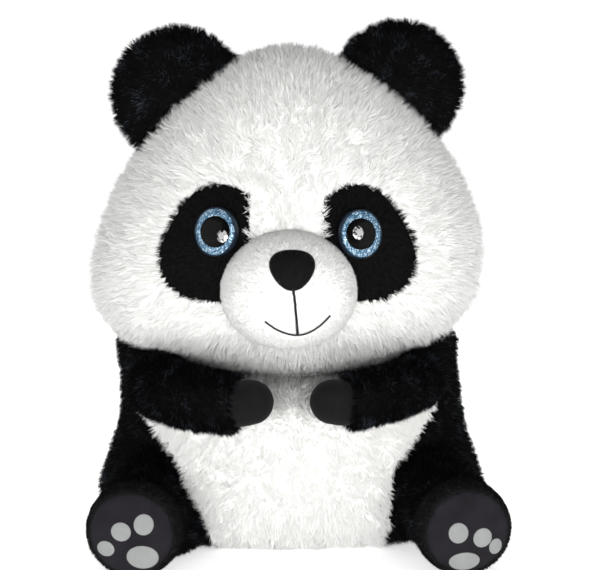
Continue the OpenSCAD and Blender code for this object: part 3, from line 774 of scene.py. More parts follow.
def add_camera():
    data = bpy.data.cameras.new("camera")
    camera = bpy.data.objects.new("camera", data)
    flat = cosd(VIEW_RISE)
    back = np.array([-sind(VIEW_TURN) * flat, -cosd(VIEW_TURN) * flat, sind(VIEW_RISE)])
    right = np.array([cosd(VIEW_TURN), -sind(VIEW_TURN), 0])
    target = np.array([0, 0, VIEW_TARGET_Z]) + VIEW_SHIFT * right
    place_and_aim(camera, to_frame(target + VIEW_DISTANCE * back), -back)
    data.sensor_width = 36
    data.lens = data.sensor_width * VIEW_DISTANCE / SCALE_MM_PER_PX / FRAME_W_PX
    bpy.context.scene.camera = camera


def place_and_aim(obj, place, heading):
    """Puts a camera or a light somewhere, looking along heading."""
    obj.location = place
    obj.rotation_mode = "QUATERNION"
    obj.rotation_quaternion = Vector(heading).to_track_quat("-Z", "Y")
    bpy.context.scene.collection.objects.link(obj)


def add_light(name, place, aim, size_m, power):
    data = bpy.data.lights.new(name, "AREA")
    data.shape = "RECTANGLE"
    data.size, data.size_y = size_m
    data.energy = power
    light = bpy.data.objects.new(name, data)
    place_and_aim(light, to_frame(place), to_frame(aim) - to_frame(place))


# Light from the white studio all round, how bright its walls look, and the glow of its light table
SKY_LIGHT, WALL_WHITE, FLOOR_GLOW = 0.42, 1.05, 0.62
FLOOR_R = 4000
TOY_MIDDLE = [0, 0, 230]
# Name, place, aim, size in metres and watts of each lamp
LIGHTS = [
    ("front", [0, -2000, 160], [0, 0, 140], (1.8, 0.3), 39),
    ("side_left", [-1800, -300, 420], TOY_MIDDLE, (1.2, 0.8), 4),
    ("side_right", [1800, -300, 420], TOY_MIDDLE, (1.2, 0.8), 4),
    ("back", [0, 2000, 420], TOY_MIDDLE, (1.8, 0.8), 26),
    ("top", [0, 0, 2000], TOY_MIDDLE, (1.6, 1.6), 7),
]


def add_sky(tree):
    """A dim white sky that lights the toy, with walls that look white."""
    light = tree.nodes["Background"]
    wall = tree.nodes.new("ShaderNodeBackground")
    for node, strength in ((light, SKY_LIGHT), (wall, WALL_WHITE)):
        node.inputs["Color"].default_value = (1, 1, 1, 1)
        node.inputs["Strength"].default_value = strength
    path = tree.nodes.new("ShaderNodeLightPath")
    mix = tree.nodes.new("ShaderNodeMixShader")
    tree.links.new(path.outputs["Is Camera Ray"], mix.inputs[0])
    tree.links.new(light.outputs[0], mix.inputs[1])
    tree.links.new(wall.outputs[0], mix.inputs[2])
    tree.links.new(mix.outputs[0], tree.nodes["World Output"].inputs["Surface"])


def add_studio():
    scene = bpy.context.scene
    scene.view_settings.view_transform = "Standard"
    world = bpy.data.worlds.new("studio")
    scene.world = world
    world.use_nodes = True
    add_sky(world.node_tree)
    for light in LIGHTS:
        add_light(*light)
    add_floor()


def add_floor():
    """A pale light table, which glows a little from below."""
    ring = [[FLOOR_R * cosd(a), FLOOR_R * sind(a), -0.5] for a in range(0, 360, 10)]
    floor = put("floor", ring, [tuple(range(len(ring)))])
    look = Shader("floor_paper", 0.9, Specular_IOR_Level=0.1)
    look.colour(look.ramp(look.noise(6), (0.3, grey(0.93)), (0.7, grey(0.95))))
    look.shader.inputs["Emission Color"].default_value = (1, 1, 1, 1)
    look.shader.inputs["Emission Strength"].default_value = FLOOR_GLOW
    floor.data.materials.append(look.material)


# ---------- Head ----------

def away_from(middle):
    """Combs the pile outwards from a point."""
    return lambda points: unit(points - middle)


def head_comb(points):
    theta, phi = head_angles(points)
    back = np.stack([cosd(theta) * cosd(phi), sind(theta), cosd(theta) * sind(phi)], axis=-1)
    return back - 0.35 * UP


def on_muzzle(points):
    theta, phi = head_angles(points)
    return theta < muzzle_theta(phi)


def on_patch(points):
    theta, phi = head_angles(points)
    x = points[..., 0]
    outside = np.where(x > 0, x > PATCH_INNER["right"], x < -PATCH_INNER["left"])
    return (theta >= muzzle_theta(phi)) & (theta < patch_theta(phi)) & outside


def on_white_head(points):
    return ~on_muzzle(points) & ~on_patch(points)


def head_rings(drop, cols=96, muzzle_rows=14, face_rows=26, nape_rows=20):
    phi = np.arange(cols) * 360 / cols
    phi = np.where(phi > 180, phi - 360, phi)
    edge = muzzle_theta(phi)
    thetas = [edge * sind(90 * k / muzzle_rows) for k in range(1, muzzle_rows + 1)]
    thetas += [edge + (SEAM_THETA - edge) * k / face_rows for k in range(1, face_rows + 1)]
    thetas += [SEAM_THETA + (180 - SEAM_THETA) * k / nape_rows + 0 * phi for k in range(1, nape_rows)]
    return np.stack([head_point(theta, phi, drop) for theta in thetas])


def near(distance, reach_mm):
    """1 at distance 0, falling to 0 at reach_mm."""
    return np.clip(1 - np.abs(distance) / reach_mm, 0, 1)


def add_head():
    drop = 2.5
    points, faces = loft(head_rings(drop), head_point(0, 0, drop), head_point(180, 0, drop))
    skin = put("head_form", points, faces)
    theta, phi = head_angles(mesh_points(skin))
    hold = np.maximum.reduce([
        near(theta - muzzle_theta(phi), 5),
        near(theta - patch_theta(phi), 4) * (patch_theta(phi) > muzzle_theta(phi) + 1),
        near(theta - SEAM_THETA, 4),
        near(np.abs(phi - 90) - 17, 4) * (theta < SEAM_THETA) * 0.7,
    ])
    swell(skin, hold, 3.5)
    subdivide(skin)

    middles = face_middles(skin)
    add_skin("head_skin", skin, on_white_head(middles), white_cloth, "white_plush", "head",
             ["head_stuffing", *HEAD_PANELS])
    add_skin("muzzle_skin", skin, on_muzzle(middles), muzzle_cloth, "white_velour", "head",
             ["muzzle_panel"])
    for side, k in SIDES.items():
        add_skin(f"patch_skin_{side}", skin, on_patch(middles) & (middles[:, 0] * k > 0), black_cloth,
                 "black_plush", "head", [f"eye_patch_{side}"])
    for side, k in SIDES.items():
        add_head_pile(side, k, skin)
    nose_place = [0, MUZZLE_TIP_Y, HEAD_MID[2] + 20]
    add_pile("head", "white_velour", "muzzle_pile", skin, muzzle_pile_look, 500000, 3.2,
             away_from(nose_place),
             lambda p: on_muzzle(p) * clear_of_mouth(p), width=0.3, lean=(30, 65), seed=41)
    bpy.data.objects.remove(skin)


def add_head_pile(side, k, skin):
    """The pile of one half of the head: face, nape and eye patch."""
    behind = SEAM_Y + 8
    eye = from_frame(np.mean(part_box(f"pupil_{side}"), axis=0))
    add_pile("head", "white_plush", f"face_pile_{side}", skin, white_pile, 130000, 10, head_comb,
             lambda p: on_white_head(p) & (p[:, 0] * k > 0) & (p[:, 1] < behind), seed=11 + k)
    add_pile("head", "white_plush", f"nape_pile_{side}", skin, white_pile, 110000, 10, head_comb,
             lambda p: (p[:, 0] * k > 0) & (p[:, 1] >= behind), seed=21 + k)
    add_pile("head", "black_plush", f"patch_pile_{side}", skin, patch_pile_look, 330000, 7, away_from(eye),
             lambda p: on_patch(p) & (p[:, 0] * k > 0), width=0.35, seed=31 + k)


# ---------- Body ----------

def body_comb(points):
    out = unit(points * [1, 1, 0])
    return 0.35 * out - 0.9 * UP


def add_torso():
    phi = np.arange(96) * 3.75 - 180
    thetas = [180 * k / 44 for k in range(1, 44)]
    rings = fill_out(np.stack([body_point(theta, phi, 4 if theta > 45 else 1) for theta in thetas]))
    skin = put("body_form", *loft(rings, [0, 0, BODY_TOP - 1], [0, 0, 0.6]))
    points = mesh_points(skin)
    theta, phi = body_angles(points)
    hold = np.maximum.reduce([
        near(np.abs(phi + 90) - belly_half(theta), 5),
        near(phi - 90, 4),
        (points[:, 2] < 3).astype(float),
        near(theta - 25, 6),
    ])
    swell(skin, hold, 4)
    subdivide(skin)
    settle(skin, 0.5)

    middles = face_middles(skin)
    belly = on_belly(middles)
    seat = ~belly & (middles[:, 2] < SEAT_TOP)
    add_skin("belly_skin", skin, belly, white_cloth, "white_plush", "torso",
             ["belly_panel", "body_stuffing"])
    add_skin("seat_skin", skin, seat, black_cloth, "black_plush", "torso", ["seat_panel"])
    for side, k in SIDES.items():
        chosen = ~belly & ~seat & (middles[:, 0] * k > 0)
        add_skin(f"back_skin_{side}", skin, chosen, black_cloth, "black_plush", "torso",
                 [f"back_panel_{side}"])
        add_pile("torso", "black_plush", f"back_pile_{side}", skin, black_pile, 92000, 9, body_comb,
                 lambda p: ~on_belly(p) & (p[:, 0] * k > 0) & (p[:, 2] > 2), seed=51 + k)
    add_pile("torso", "white_plush", "belly_pile", skin, white_pile, 170000, 9, body_comb, on_belly,
             seed=61)
    bpy.data.objects.remove(skin)


def settle(obj, floor):
    """Flattens what would reach below the floor."""
    points = mesh_points(obj)
    points[:, 2] = np.maximum(points[:, 2], floor)
    set_points(obj, points)


RING_TURNS = np.arange(0, 360, 12.0)


def add_tail():
    low, high = corners("tail_cover")
    middle = (low + high) / 2
    half = (high - low) / 2 - 3
    rings = []
    for a in np.linspace(10, 170, 12):
        ring = [sind(a) * cosd(RING_TURNS), cosd(a) + 0 * RING_TURNS, sind(a) * sind(RING_TURNS)]
        rings.append(middle + half * np.stack(ring, 1))
    skin = put("tail_form", *loft(rings, middle + half * [0, 1, 0], middle - half * [0, 1, 0]))
    swell(skin, near(mesh_points(skin)[:, 1] - low[1], 3), 2)
    add_whole_skin("tail_skin", skin, black_cloth, "black_plush", "torso", ["tail_cover", "tail_stuffing"])
    add_pile("torso", "black_plush", "tail_pile", skin, black_pile, 7000, 9, away_from(middle - [0, 20, 0]),
             everywhere, seed=71)
    bpy.data.objects.remove(skin)


def flat_ring(r, z, turns):
    return np.stack([r * cosd(turns), r * sind(turns), z + 0 * turns], 1)


def add_neck():
    low, high = corners("neck_stuffing")
    r = (high[0] - low[0]) / 2
    middle = (low[2] + high[2]) / 2
    profile = [(low[2] - 3, 0), (low[2], 1.5), (middle, 3), (high[2], 1.5), (high[2] + 3, 0)]
    rings = [flat_ring(r + bulge, z, RING_TURNS) for z, bulge in profile]
    cover = put("neck_cover", *loft(rings, [0, 0, low[2] - 3], [0, 0, high[2] + 3]))
    subdivide(cover)
    dress(cover, white_cloth, "white_plush", "neck", ["neck_stuffing"], 0.7)

    low, high = corners("neck_stitching")
    r = (high[0] - low[0]) / 2 - 1.2
    path = flat_ring(r, (low[2] + high[2]) / 2, np.arange(0, 361, 3.0))
    thread = add_thread("neck_thread", path, 1.1, white_thread, pitch=9)
    attach(thread, "neck", "white_thread", "neck_stitching")


def add_thread(name, path, radius, material, pitch=4.5, plies=2):
    """A twisted thread along a path, each ply a tube of its own."""
    path = np.asarray(path, float)
    step = np.linalg.norm(np.diff(path, axis=0), axis=1)
    along = np.concatenate([[0], np.cumsum(step)])
    fine = np.linspace(0, along[-1], max(12, int(along[-1] / 0.45)))
    line = np.stack([np.interp(fine, along, path[:, i]) for i in range(3)], 1)
    heading = unit(np.gradient(line, axis=0))
    side = unit(np.cross(heading, [0.1, 1.0, 0.2]))
    rise = np.cross(heading, side)
    sides = 6
    points, faces = [], []
    for ply in range(plies):
        turn = 360 * (fine / pitch + ply / plies)
        middle = line + radius * 0.5 * (cosd(turn)[:, None] * side + sind(turn)[:, None] * rise)
        rings = np.stack([
            middle + radius * 0.55 * (cosd(360 * k / sides) * side + sind(360 * k / sides) * rise)
            for k in range(sides)
        ], 1)
        p, f = loft(rings, middle[0], middle[-1])
        faces += [tuple(i + len(points) for i in face) for face in f]
        points += p.tolist()
    return put(name, np.array(points), faces, material)


# ---------- Ears ----------

# Middle and radius of each ear's disc. The left one overlaps the head more
EAR_X = {"left": -96, "right": 98.5}
EAR_Z = {"left": 396.5, "right": 404}
EAR_R = {"left": 56, "right": 54}
EAR_FORWARD = {"left": 20, "right": 13}
# Half thickness of an ear, and how far its upper edge leans forwards
EAR_HALF, EAR_LEAN = 13, 8
EAR_BEND_R = 66


def ear_lean(rise):
    """How far an ear leans forwards at a height above its middle."""
    return EAR_LEAN * np.maximum(rise, 0) ** 2 / EAR_BEND_R ** 2


def add_ears():
    for side, k in SIDES.items():
        foot = from_frame(JOINTS[f"ear_{side}_fold"]["pos_m"])
        base = np.array([0.714 * k, 0, -0.7])
        away = np.array([0.7 * k, 0, 0.714])
        middle = np.array([EAR_X[side], foot[1] - EAR_FORWARD[side], EAR_Z[side]])
        r = EAR_R[side]
        turns = np.arange(0, 360, 6.0)
        rings = []
        for a in np.linspace(6, 174, 26):
            out = r * sind(a) ** 0.75
            cup = 1 - (0.4 * np.exp(-(out / 32) ** 2) if a < 90 else 0)
            rise = out * sind(turns)
            depth = -EAR_HALF * cosd(a) * cup - ear_lean(rise)
            rings.append(middle + out * cosd(turns)[:, None] * base + rise[:, None] * away
                         + depth[:, None] * [0, 1, 0])
        skin = put("ear_form", *loft(rings, rings[0].mean(0), rings[-1].mean(0)))
        points = mesh_points(skin)
        out = np.linalg.norm((points - middle) * [1, 0, 1], axis=1)
        swell(skin, near(out - r, 4), 2.5)
        subdivide(skin)
        middles = face_middles(skin)
        front = middles[:, 1] < middle[1] - ear_lean((middles - middle) @ away)
        add_skin(f"ear_front_skin_{side}", skin, front, black_cloth, "black_plush", f"ear_{side}",
                 [f"ear_front_{side}", f"ear_stuffing_{side}"])
        add_skin(f"ear_back_skin_{side}", skin, ~front, black_cloth, "black_plush", f"ear_{side}",
                 [f"ear_back_{side}"])
        add_pile(f"ear_{side}", "black_plush", f"ear_pile_{side}", skin, black_pile, 26000, 9,
                 lambda p, m=middle: unit((p - m) * [1, 0.3, 1]), everywhere, seed=81 + k)
        bpy.data.objects.remove(skin)


# ---------- Arms ----------

# The arm's path in the CAD, drawn in a little at the shoulder and the elbow, where the fill is pressed
ARM_PATH = [[114, -36, 145], [112, -84, 145], [86, -118, 140], [50, -133, 136], [34.5, -134, 137]]
# How much higher each elbow sits
ELBOW_RISE = {LEFT: -1, RIGHT: 4}
SHOULDER_D = {LEFT: 56, RIGHT: 46}
WRIST_D = {LEFT: 52, RIGHT: 48}
HAND_D = 40
SLEEVE_END, HAND_START = 0.76, 0.72


def arm_at(t, k):
    """Point on a smooth curve through the arm's path, on the side k."""
    path = np.array(ARM_PATH, float)
    path[:, 2] += ELBOW_RISE[k] * (path[:, 0] - path[-1, 0]) / (path[0, 0] - path[-1, 0])
    path *= [k, 1, 1]
    n = len(path) - 1
    i = min(int(t * n), n - 1)
    f = t * n - i
    b, c = path[i], path[i + 1]
    a = path[i - 1] if i > 0 else 2 * b - c
    d = path[i + 2] if i < n - 1 else 2 * c - b
    square, cube = 2 * a - 5 * b + 4 * c - d, 3 * b - a - 3 * c + d
    return 0.5 * (2 * b + (c - a) * f + square * f * f + cube * f ** 3)


def arm_heading(t, k):
    return unit(arm_at(min(1, t + 0.01), k) - arm_at(max(0, t - 0.01), k))


def arm_ring(t, r, k, ahead=0.0):
    """A ring of radius r round the arm at t, moved ahead along it."""
    turns = np.arange(0, 360, 10.0)
    heading = arm_heading(t, k)
    across = unit(np.cross(heading, UP))
    rise = np.cross(across, heading)
    circle = cosd(turns)[:, None] * across + sind(turns)[:, None] * rise
    return arm_at(t, k) + ahead * heading + r * circle


def sleeve_radius(t, k):
    return (SHOULDER_D[k] + (WRIST_D[k] - SHOULDER_D[k]) * (t / SLEEVE_END) ** 2) / 2


def add_arms():
    drop = 3.5
    for side, k in SIDES.items():
        r = SHOULDER_D[k] / 2 - drop
        rings = [arm_ring(0, r * sind(a), k, -r * cosd(a)) for a in range(15, 90, 15)]
        rings += [arm_ring(t, sleeve_radius(t, k) - drop, k) for t in SLEEVE_END * np.arange(25) / 24]
        mouth = HAND_D / 2 + 0.5
        rings += [arm_ring(SLEEVE_END, mouth, k, 0.5), arm_ring(SLEEVE_END, mouth - 2, k, -2)]
        skin = put("sleeve_form", *loft(rings, arm_at(0, k) - r * arm_heading(0, k), arm_at(SLEEVE_END, k)))
        points = mesh_points(skin)
        cuff = np.linalg.norm(points - arm_at(SLEEVE_END, k), axis=1)
        swell(skin, np.clip(1.6 - cuff / 26, 0, 1), 3)
        subdivide(skin)
        add_whole_skin(f"sleeve_skin_{side}", skin, black_cloth, "black_plush", f"arm_{side}",
                       [f"sleeve_{side}", f"arm_stuffing_{side}"])

        centres = np.array([arm_at(t, k) for t in np.linspace(0, 1, 60)])
        headings = np.array([arm_heading(t, k) for t in np.linspace(0, 1, 60)])

        def arm_comb(p, centres=centres, headings=headings):
            nearest = np.argmin(((p[:, None] - centres[None]) ** 2).sum(2), axis=1)
            return headings[nearest] * 0.9 - 0.35 * UP

        add_pile(f"arm_{side}", "black_plush", f"sleeve_pile_{side}", skin, black_pile, 26000, 8.5,
                 arm_comb,
                 everywhere, seed=91 + k)
        bpy.data.objects.remove(skin)
        add_hand(side, k)


def add_hand(side, k):
    r = HAND_D / 2 - 0.6
    rings = [arm_ring(HAND_START, r - 1, k)]
    for j in range(10):
        t = HAND_START + (1 - HAND_START) * j / 9
        rings.append(arm_ring(t, r * (1 + 0.02 * sind(180 * j / 9)), k))
    rings += [arm_ring(1, r * cosd(a), k, r * sind(a)) for a in range(12, 85, 12)]
    tip = arm_at(1, k) + r * arm_heading(1, k)
    hand = put(f"hand_skin_{side}", *loft(rings, arm_at(HAND_START, k), tip))
    points = mesh_points(hand)
    heading = arm_heading(1, k)
    across = unit(np.cross(heading, UP))
    seam = np.abs((points - arm_at(1, k)) @ across)
    swell(hand, near(seam, 4), 1.2, 3)
    points = mesh_points(hand)
    away = points - arm_at(1, k)
    pinch = 0.7 * near(seam, 2.2)[:, None]
    set_points(hand, points - pinch * unit(away - (away @ heading)[:, None] * heading))
    subdivide(hand)
    dress(hand, mitt_suede, "black_suede", f"arm_{side}", [f"hand_{side}"])


# ---------- Legs ----------

HIP_D, ANKLE_D = 88, 77
LEG_LEN = 130
BOOT_START = 98
SOLE_R = 39
SOLE_DOME = 8
FOOT_SQUASH = 0.97
# How far each foot is turned inwards
FOOT_IN = {LEFT: 4.5, RIGHT: 3}
# How the inner side of each thigh is pressed flat, leans inwards towards the floor, and spreads there
THIGH_PRESS = {LEFT: 0.28, RIGHT: 0.16}
THIGH_LEAN = {LEFT: 0.58, RIGHT: -0.2}
THIGH_SPREAD = {LEFT: 0.45, RIGHT: 0}
OUTER_SPREAD = 0.45


class LegFrame:
    """A leg's own frame: s outwards, u upwards, and z along the leg from the hip to the sole."""

    def __init__(self, side, k):
        hip = from_frame(JOINTS[f"leg_{side}_lift"]["pos_m"])
        sole = node_points(f"sole_{side}").mean(axis=0)
        self.z = unit(sole - hip)
        self.hip = hip + [BODY_SHIFT, 0, 0]
        self.u = unit(UP - (UP @ self.z) * self.z)
        across = np.cross(self.u, self.z)
        self.s = across * (1 if across[0] * k > 0 else -1)
        self.foot_in = np.array([-k * FOOT_IN[k], 0, 0])

    def at(self, s, u, z):
        s, u, z = np.broadcast_arrays(np.asarray(s, float), np.asarray(u, float), np.asarray(z, float))
        points = self.hip + s[..., None] * self.s + u[..., None] * self.u + z[..., None] * self.z
        # The foot is pressed a little flatter, more towards the sole
        share = np.clip(z / LEG_LEN, 0, 1)[..., None]
        return points * (1 - share * (1 - FOOT_SQUASH) * [0, 0, 1]) + share * self.foot_in


def leg_radius(z):
    """Radius of the plush leg at z along it."""
    t = np.clip(z / BOOT_START, 0, 1)
    return HIP_D / 2 + (ANKLE_D - HIP_D) / 2 * (1 - (1 - t) ** 1.6)


def press_thigh(skin, leg, k):
    """Widens a thigh towards the floor, and leans its inner side."""
    points = mesh_points(skin)
    away = points - leg.hip
    s, u, z = away @ leg.s, away @ leg.u, away @ leg.z
    share = eased((BOOT_START - z) / 60)
    low = np.clip(-u / 40, 0, 1) ** 2
    inner = (THIGH_LEAN[k] * u - THIGH_PRESS[k] * s) * eased(-s / 15) + THIGH_SPREAD[k] * s * low
    move = np.where(s < 0, inner, OUTER_SPREAD * s * low)
    set_points(skin, points + (share * move)[:, None] * leg.s)


def add_legs():
    turns = np.arange(0, 360, 7.5)
    drop = 4
    for side, k in SIDES.items():
        leg = LegFrame(side, k)
        r = HIP_D / 2 - drop
        profile = [(r * sind(a), -r * cosd(a)) for a in range(12, 90, 12)]
        profile += [(leg_radius(z) - drop, z) for z in np.linspace(0, BOOT_START, 20)]
        rings = [leg.at(out * cosd(turns), out * sind(turns), z) for out, z in profile]
        skin = put("leg_form", *loft(rings, leg.at(0, 0, -r), leg.at(0, 0, BOOT_START)))
        press_thigh(skin, leg, k)
        points = mesh_points(skin)
        z = (points - leg.hip) @ leg.z
        swell(skin, np.maximum(near(z - BOOT_START, 12), (points[:, 2] < 6).astype(float)), 3.5)
        subdivide(skin)
        settle(skin, 0.8)
        add_whole_skin(f"leg_skin_{side}", skin, black_cloth, "black_plush", f"leg_{side}",
                       [f"leg_cover_{side}", f"leg_stuffing_{side}"])
        add_pile(f"leg_{side}", "black_plush", f"leg_pile_{side}", skin, black_pile, 42000, 8.5,
                 lambda p: leg.z * 0.9 - 0.35 * UP,
                 lambda p: ((p - leg.hip) @ leg.z < BOOT_START - 1).astype(float), seed=101 + k)
        bpy.data.objects.remove(skin)
        add_boot(side, k, leg, turns)


def sole_height(out):
    """Height of the domed sole above its seam."""
    return SOLE_DOME * (1 - (out / SOLE_R) ** 2)


def add_boot(side, k, leg, turns):
    """The short-piled band round the foot."""
    band = [(ANKLE_D / 2 - 4.5, BOOT_START - 4)]
    for j in range(9):
        t = j / 8
        out = (ANKLE_D / 2 - 1.5) + (SOLE_R - ANKLE_D / 2) * t + 2.6 * sind(180 * t)
        band.append((out, BOOT_START + (LEG_LEN - BOOT_START) * t))
    band += [(SOLE_R - 3.5, LEG_LEN + 1.4), (SOLE_R - 6.5, LEG_LEN - 0.5)]
    rings = [leg.at(out * cosd(turns), out * sind(turns), z) for out, z in band]
    boot = put(f"boot_skin_{side}", *loft(rings, leg.at(0, 0, BOOT_START - 4), leg.at(0, 0, LEG_LEN - 1)))
    subdivide(boot)
    settle(boot, 0.4)
    dress(boot, mitt_suede, "black_velour", f"leg_{side}", [f"boot_{side}"], 0.9)
    add_pile(f"leg_{side}", "black_velour", f"boot_pile_{side}", boot, boot_pile_look, 30000, 2.4,
             lambda p: leg.z - 0.2 * UP,
             lambda p: ((p - leg.hip) @ leg.z > BOOT_START - 3) & ((p - leg.hip) @ leg.z < LEG_LEN + 1),
             width=0.3, seed=111 + k)
    add_sole(side, k, leg, turns)


def add_sole(side, k, leg, turns):
    """The puffed sole within the edge of the boot, and the velour spots on it."""
    rim = SOLE_R - 3.8
    rings = [leg.at(out * cosd(turns), out * sind(turns), LEG_LEN + 0.8 + sole_height(out * SOLE_R / rim))
             for out in rim * np.sin(np.radians(np.linspace(6, 90, 16)))]
    rings.append(leg.at((rim - 2) * cosd(turns), (rim - 2) * sind(turns), LEG_LEN - 2))
    top, under = leg.at(0, 0, LEG_LEN + 0.8 + SOLE_DOME), leg.at(0, 0, LEG_LEN - 3)
    sole = put(f"sole_skin_{side}", *loft(rings, top, under))
    away = mesh_points(sole) - leg.hip
    out = np.linalg.norm(away - (away @ leg.z)[:, None] * leg.z, axis=1)
    swell(sole, np.clip(1 - (rim - out) / 5, 0, 1), 2, 3)
    subdivide(sole)
    settle(sole, 0.4)
    dress(sole, sole_suede, "sole_suede", f"leg_{side}", [f"sole_{side}"], 0.9)
    add_spots(side, k, leg, sole)


# Middle (outwards, upwards) and half sizes of the three toes and the pad on a sole
SPOTS = {
    LEFT: [(-12, 10, 8.2, 9.0), (7, 3.5, 8.6, 8.2), (21, -12.5, 7.8, 7.0), (-10, -19, 13.2, 10.8)],
    RIGHT: [(-10, 1, 8.2, 9.0), (11, -4, 8.4, 8.6), (23.5, -13, 6.0, 7.2), (-3, -25, 13.2, 8.5)],
}


# Share of a spot's size and height above the sole, from its middle to its edge
SPOT_PROFILE = [(0.25, 0.9), (0.6, 0.9), (0.9, 0.9), (0.97, 0.72), (1.0, 0.27), (0.99, -1)]
SPOT_DROP = 40


def add_spots(side, k, leg, sole):
    tree = BVHTree.FromObject(sole, bpy.context.evaluated_depsgraph_get())
    points, faces = [], []
    for s, u, a, b in SPOTS[k]:
        rings = []
        for share, height in SPOT_PROFILE:
            x, y = s + share * a * cosd(RING_TURNS), u + share * b * sind(RING_TURNS)
            ring = []
            for p in leg.at(x, y, LEG_LEN + SPOT_DROP):
                hit = tree.ray_cast(Vector(to_frame(p)), Vector(-leg.z))[0]
                ground = from_frame(hit) if hit else p - (SPOT_DROP + 2) * leg.z
                ring.append(ground + height * leg.z)
            rings.append(np.array(ring))
        p, f = loft(rings, rings[0].mean(0), rings[-1].mean(0))
        faces += [tuple(i + len(points) for i in face) for face in f]
        points += p.tolist()
    spots = put(f"spots_{side}", np.array(points), faces, spot_velour)
    attach(spots, f"leg_{side}", "grey_velour", f"sole_spots_{side}")


# ---------- Eyes ----------

EYE_R = 19.8
RIM_R = 21
PUPIL_R = 13.3
PUPIL_MIDDLE = 1.9
LENS_BASE = 3.0
LENS_DOME = 5.5
SHANK_R = 3.5
SHANK_LOW = -23
# How far each eye turns outwards beyond the CAD's, and how far it sits from there to the viewer's
# right and up
EYE_TURN = {"left": -6, "right": 2}
EYE_SHIFT = {"left": (0.6, 0), "right": (-6.2, -2)}
# How far the top of each dome leans towards the nose
DOME_LEAN = {"left": 4, "right": -4.5}
# How much wider its middle looks than high
DOME_WIDEN = 0.25
# Middle of each stone on its eye, towards the viewer's right and upwards
STONES = {"left": (11.0, -3.5), "right": (-6.5, 1)}
STONE_R = 5.9
STONE_TOP = 2.7


class EyeFrame:
    """An eye's own frame: n out of the eye, r to the viewer's right and u upwards."""

    def __init__(self, side):
        pupil = np.mean(corners(f"pupil_{side}"), axis=0)
        washer = np.mean(corners(f"lock_washer_{side}"), axis=0)
        n = unit(pupil - washer)
        r = unit(np.cross(UP, n))
        self.base = pupil - PUPIL_MIDDLE * n + EYE_SHIFT[side][0] * r + EYE_SHIFT[side][1] * UP
        turn = EYE_TURN[side]
        self.n = cosd(turn) * n + sind(turn) * r
        self.r = unit(np.cross(UP, self.n))
        self.u = np.cross(self.n, self.r)

    def at(self, r, u, n):
        r, u, n = np.broadcast_arrays(np.asarray(r, float), np.asarray(u, float), np.asarray(n, float))
        return self.base + r[..., None] * self.r + u[..., None] * self.u + n[..., None] * self.n


def dome_share(out):
    return 1 - (out / RIM_R) ** 2


def lens_height(out):
    return LENS_BASE + LENS_DOME * np.sqrt(np.maximum(0, dome_share(out)))


def turned(name, eye, profile, material, first=None, last=None, lean=0.0):
    """A revolved piece in an eye's frame from (radius, height) pairs, with its middle leaning sideways."""
    turns = np.arange(0, 360, 5.0)
    rings = []
    for out, height in profile:
        share = dome_share(out) if lean else 0
        wide = out * (1 + DOME_WIDEN * share)
        rings.append(eye.at(lean * share + wide * cosd(turns), out * sind(turns), height))
    ends = [None if height is None else eye.at(lean, 0, height) for height in (first, last)]
    return put(name, *loft(rings, *ends), material)


def add_eyes():
    for side in SIDES:
        eye = EyeFrame(side)
        cap = [(out, lens_height(out) + 0.12) for out in np.linspace(1, PUPIL_R, 12)]
        pupil = turned(f"pupil_dome_{side}", eye, cap + [(PUPIL_R, 0.9)], pupil_gloss,
                       lens_height(0) + 0.12, 0.9,
                       DOME_LEAN[side])
        attach(pupil, "head", "black_plastic", f"pupil_{side}")

        ring = [(PUPIL_R + 0.1, 0.9)]
        ring += [(out, lens_height(out) - 0.15) for out in np.linspace(PUPIL_R + 0.1, EYE_R, 14)]
        ring += [(EYE_R + 0.1, 0.9), (PUPIL_R + 0.1, 0.9)]
        iris = turned(f"iris_ring_{side}", eye, ring, blue_glitter, lean=DOME_LEAN[side])
        attach(iris, "head", "blue_glitter", f"eye_ring_{side}", f"eye_lens_{side}")

        edge = lens_height(EYE_R)
        rim = [(EYE_R + 0.2, 0.8), (EYE_R + 0.2, edge), ((EYE_R + RIM_R) / 2 + 0.1, edge + 0.3),
               (RIM_R, edge - 0.5), (RIM_R + 0.1, 0.5), (RIM_R - 0.4, -2)]
        shank = [(SHANK_R + 1, -2.2), (SHANK_R, -3), (SHANK_R, SHANK_LOW)]
        cup = turned(f"eye_cup_{side}", eye, rim + shank, rim_plastic, 0.8, SHANK_LOW)
        attach(cup, "head", "black_plastic", f"eye_back_{side}")
        add_stone(side, eye)


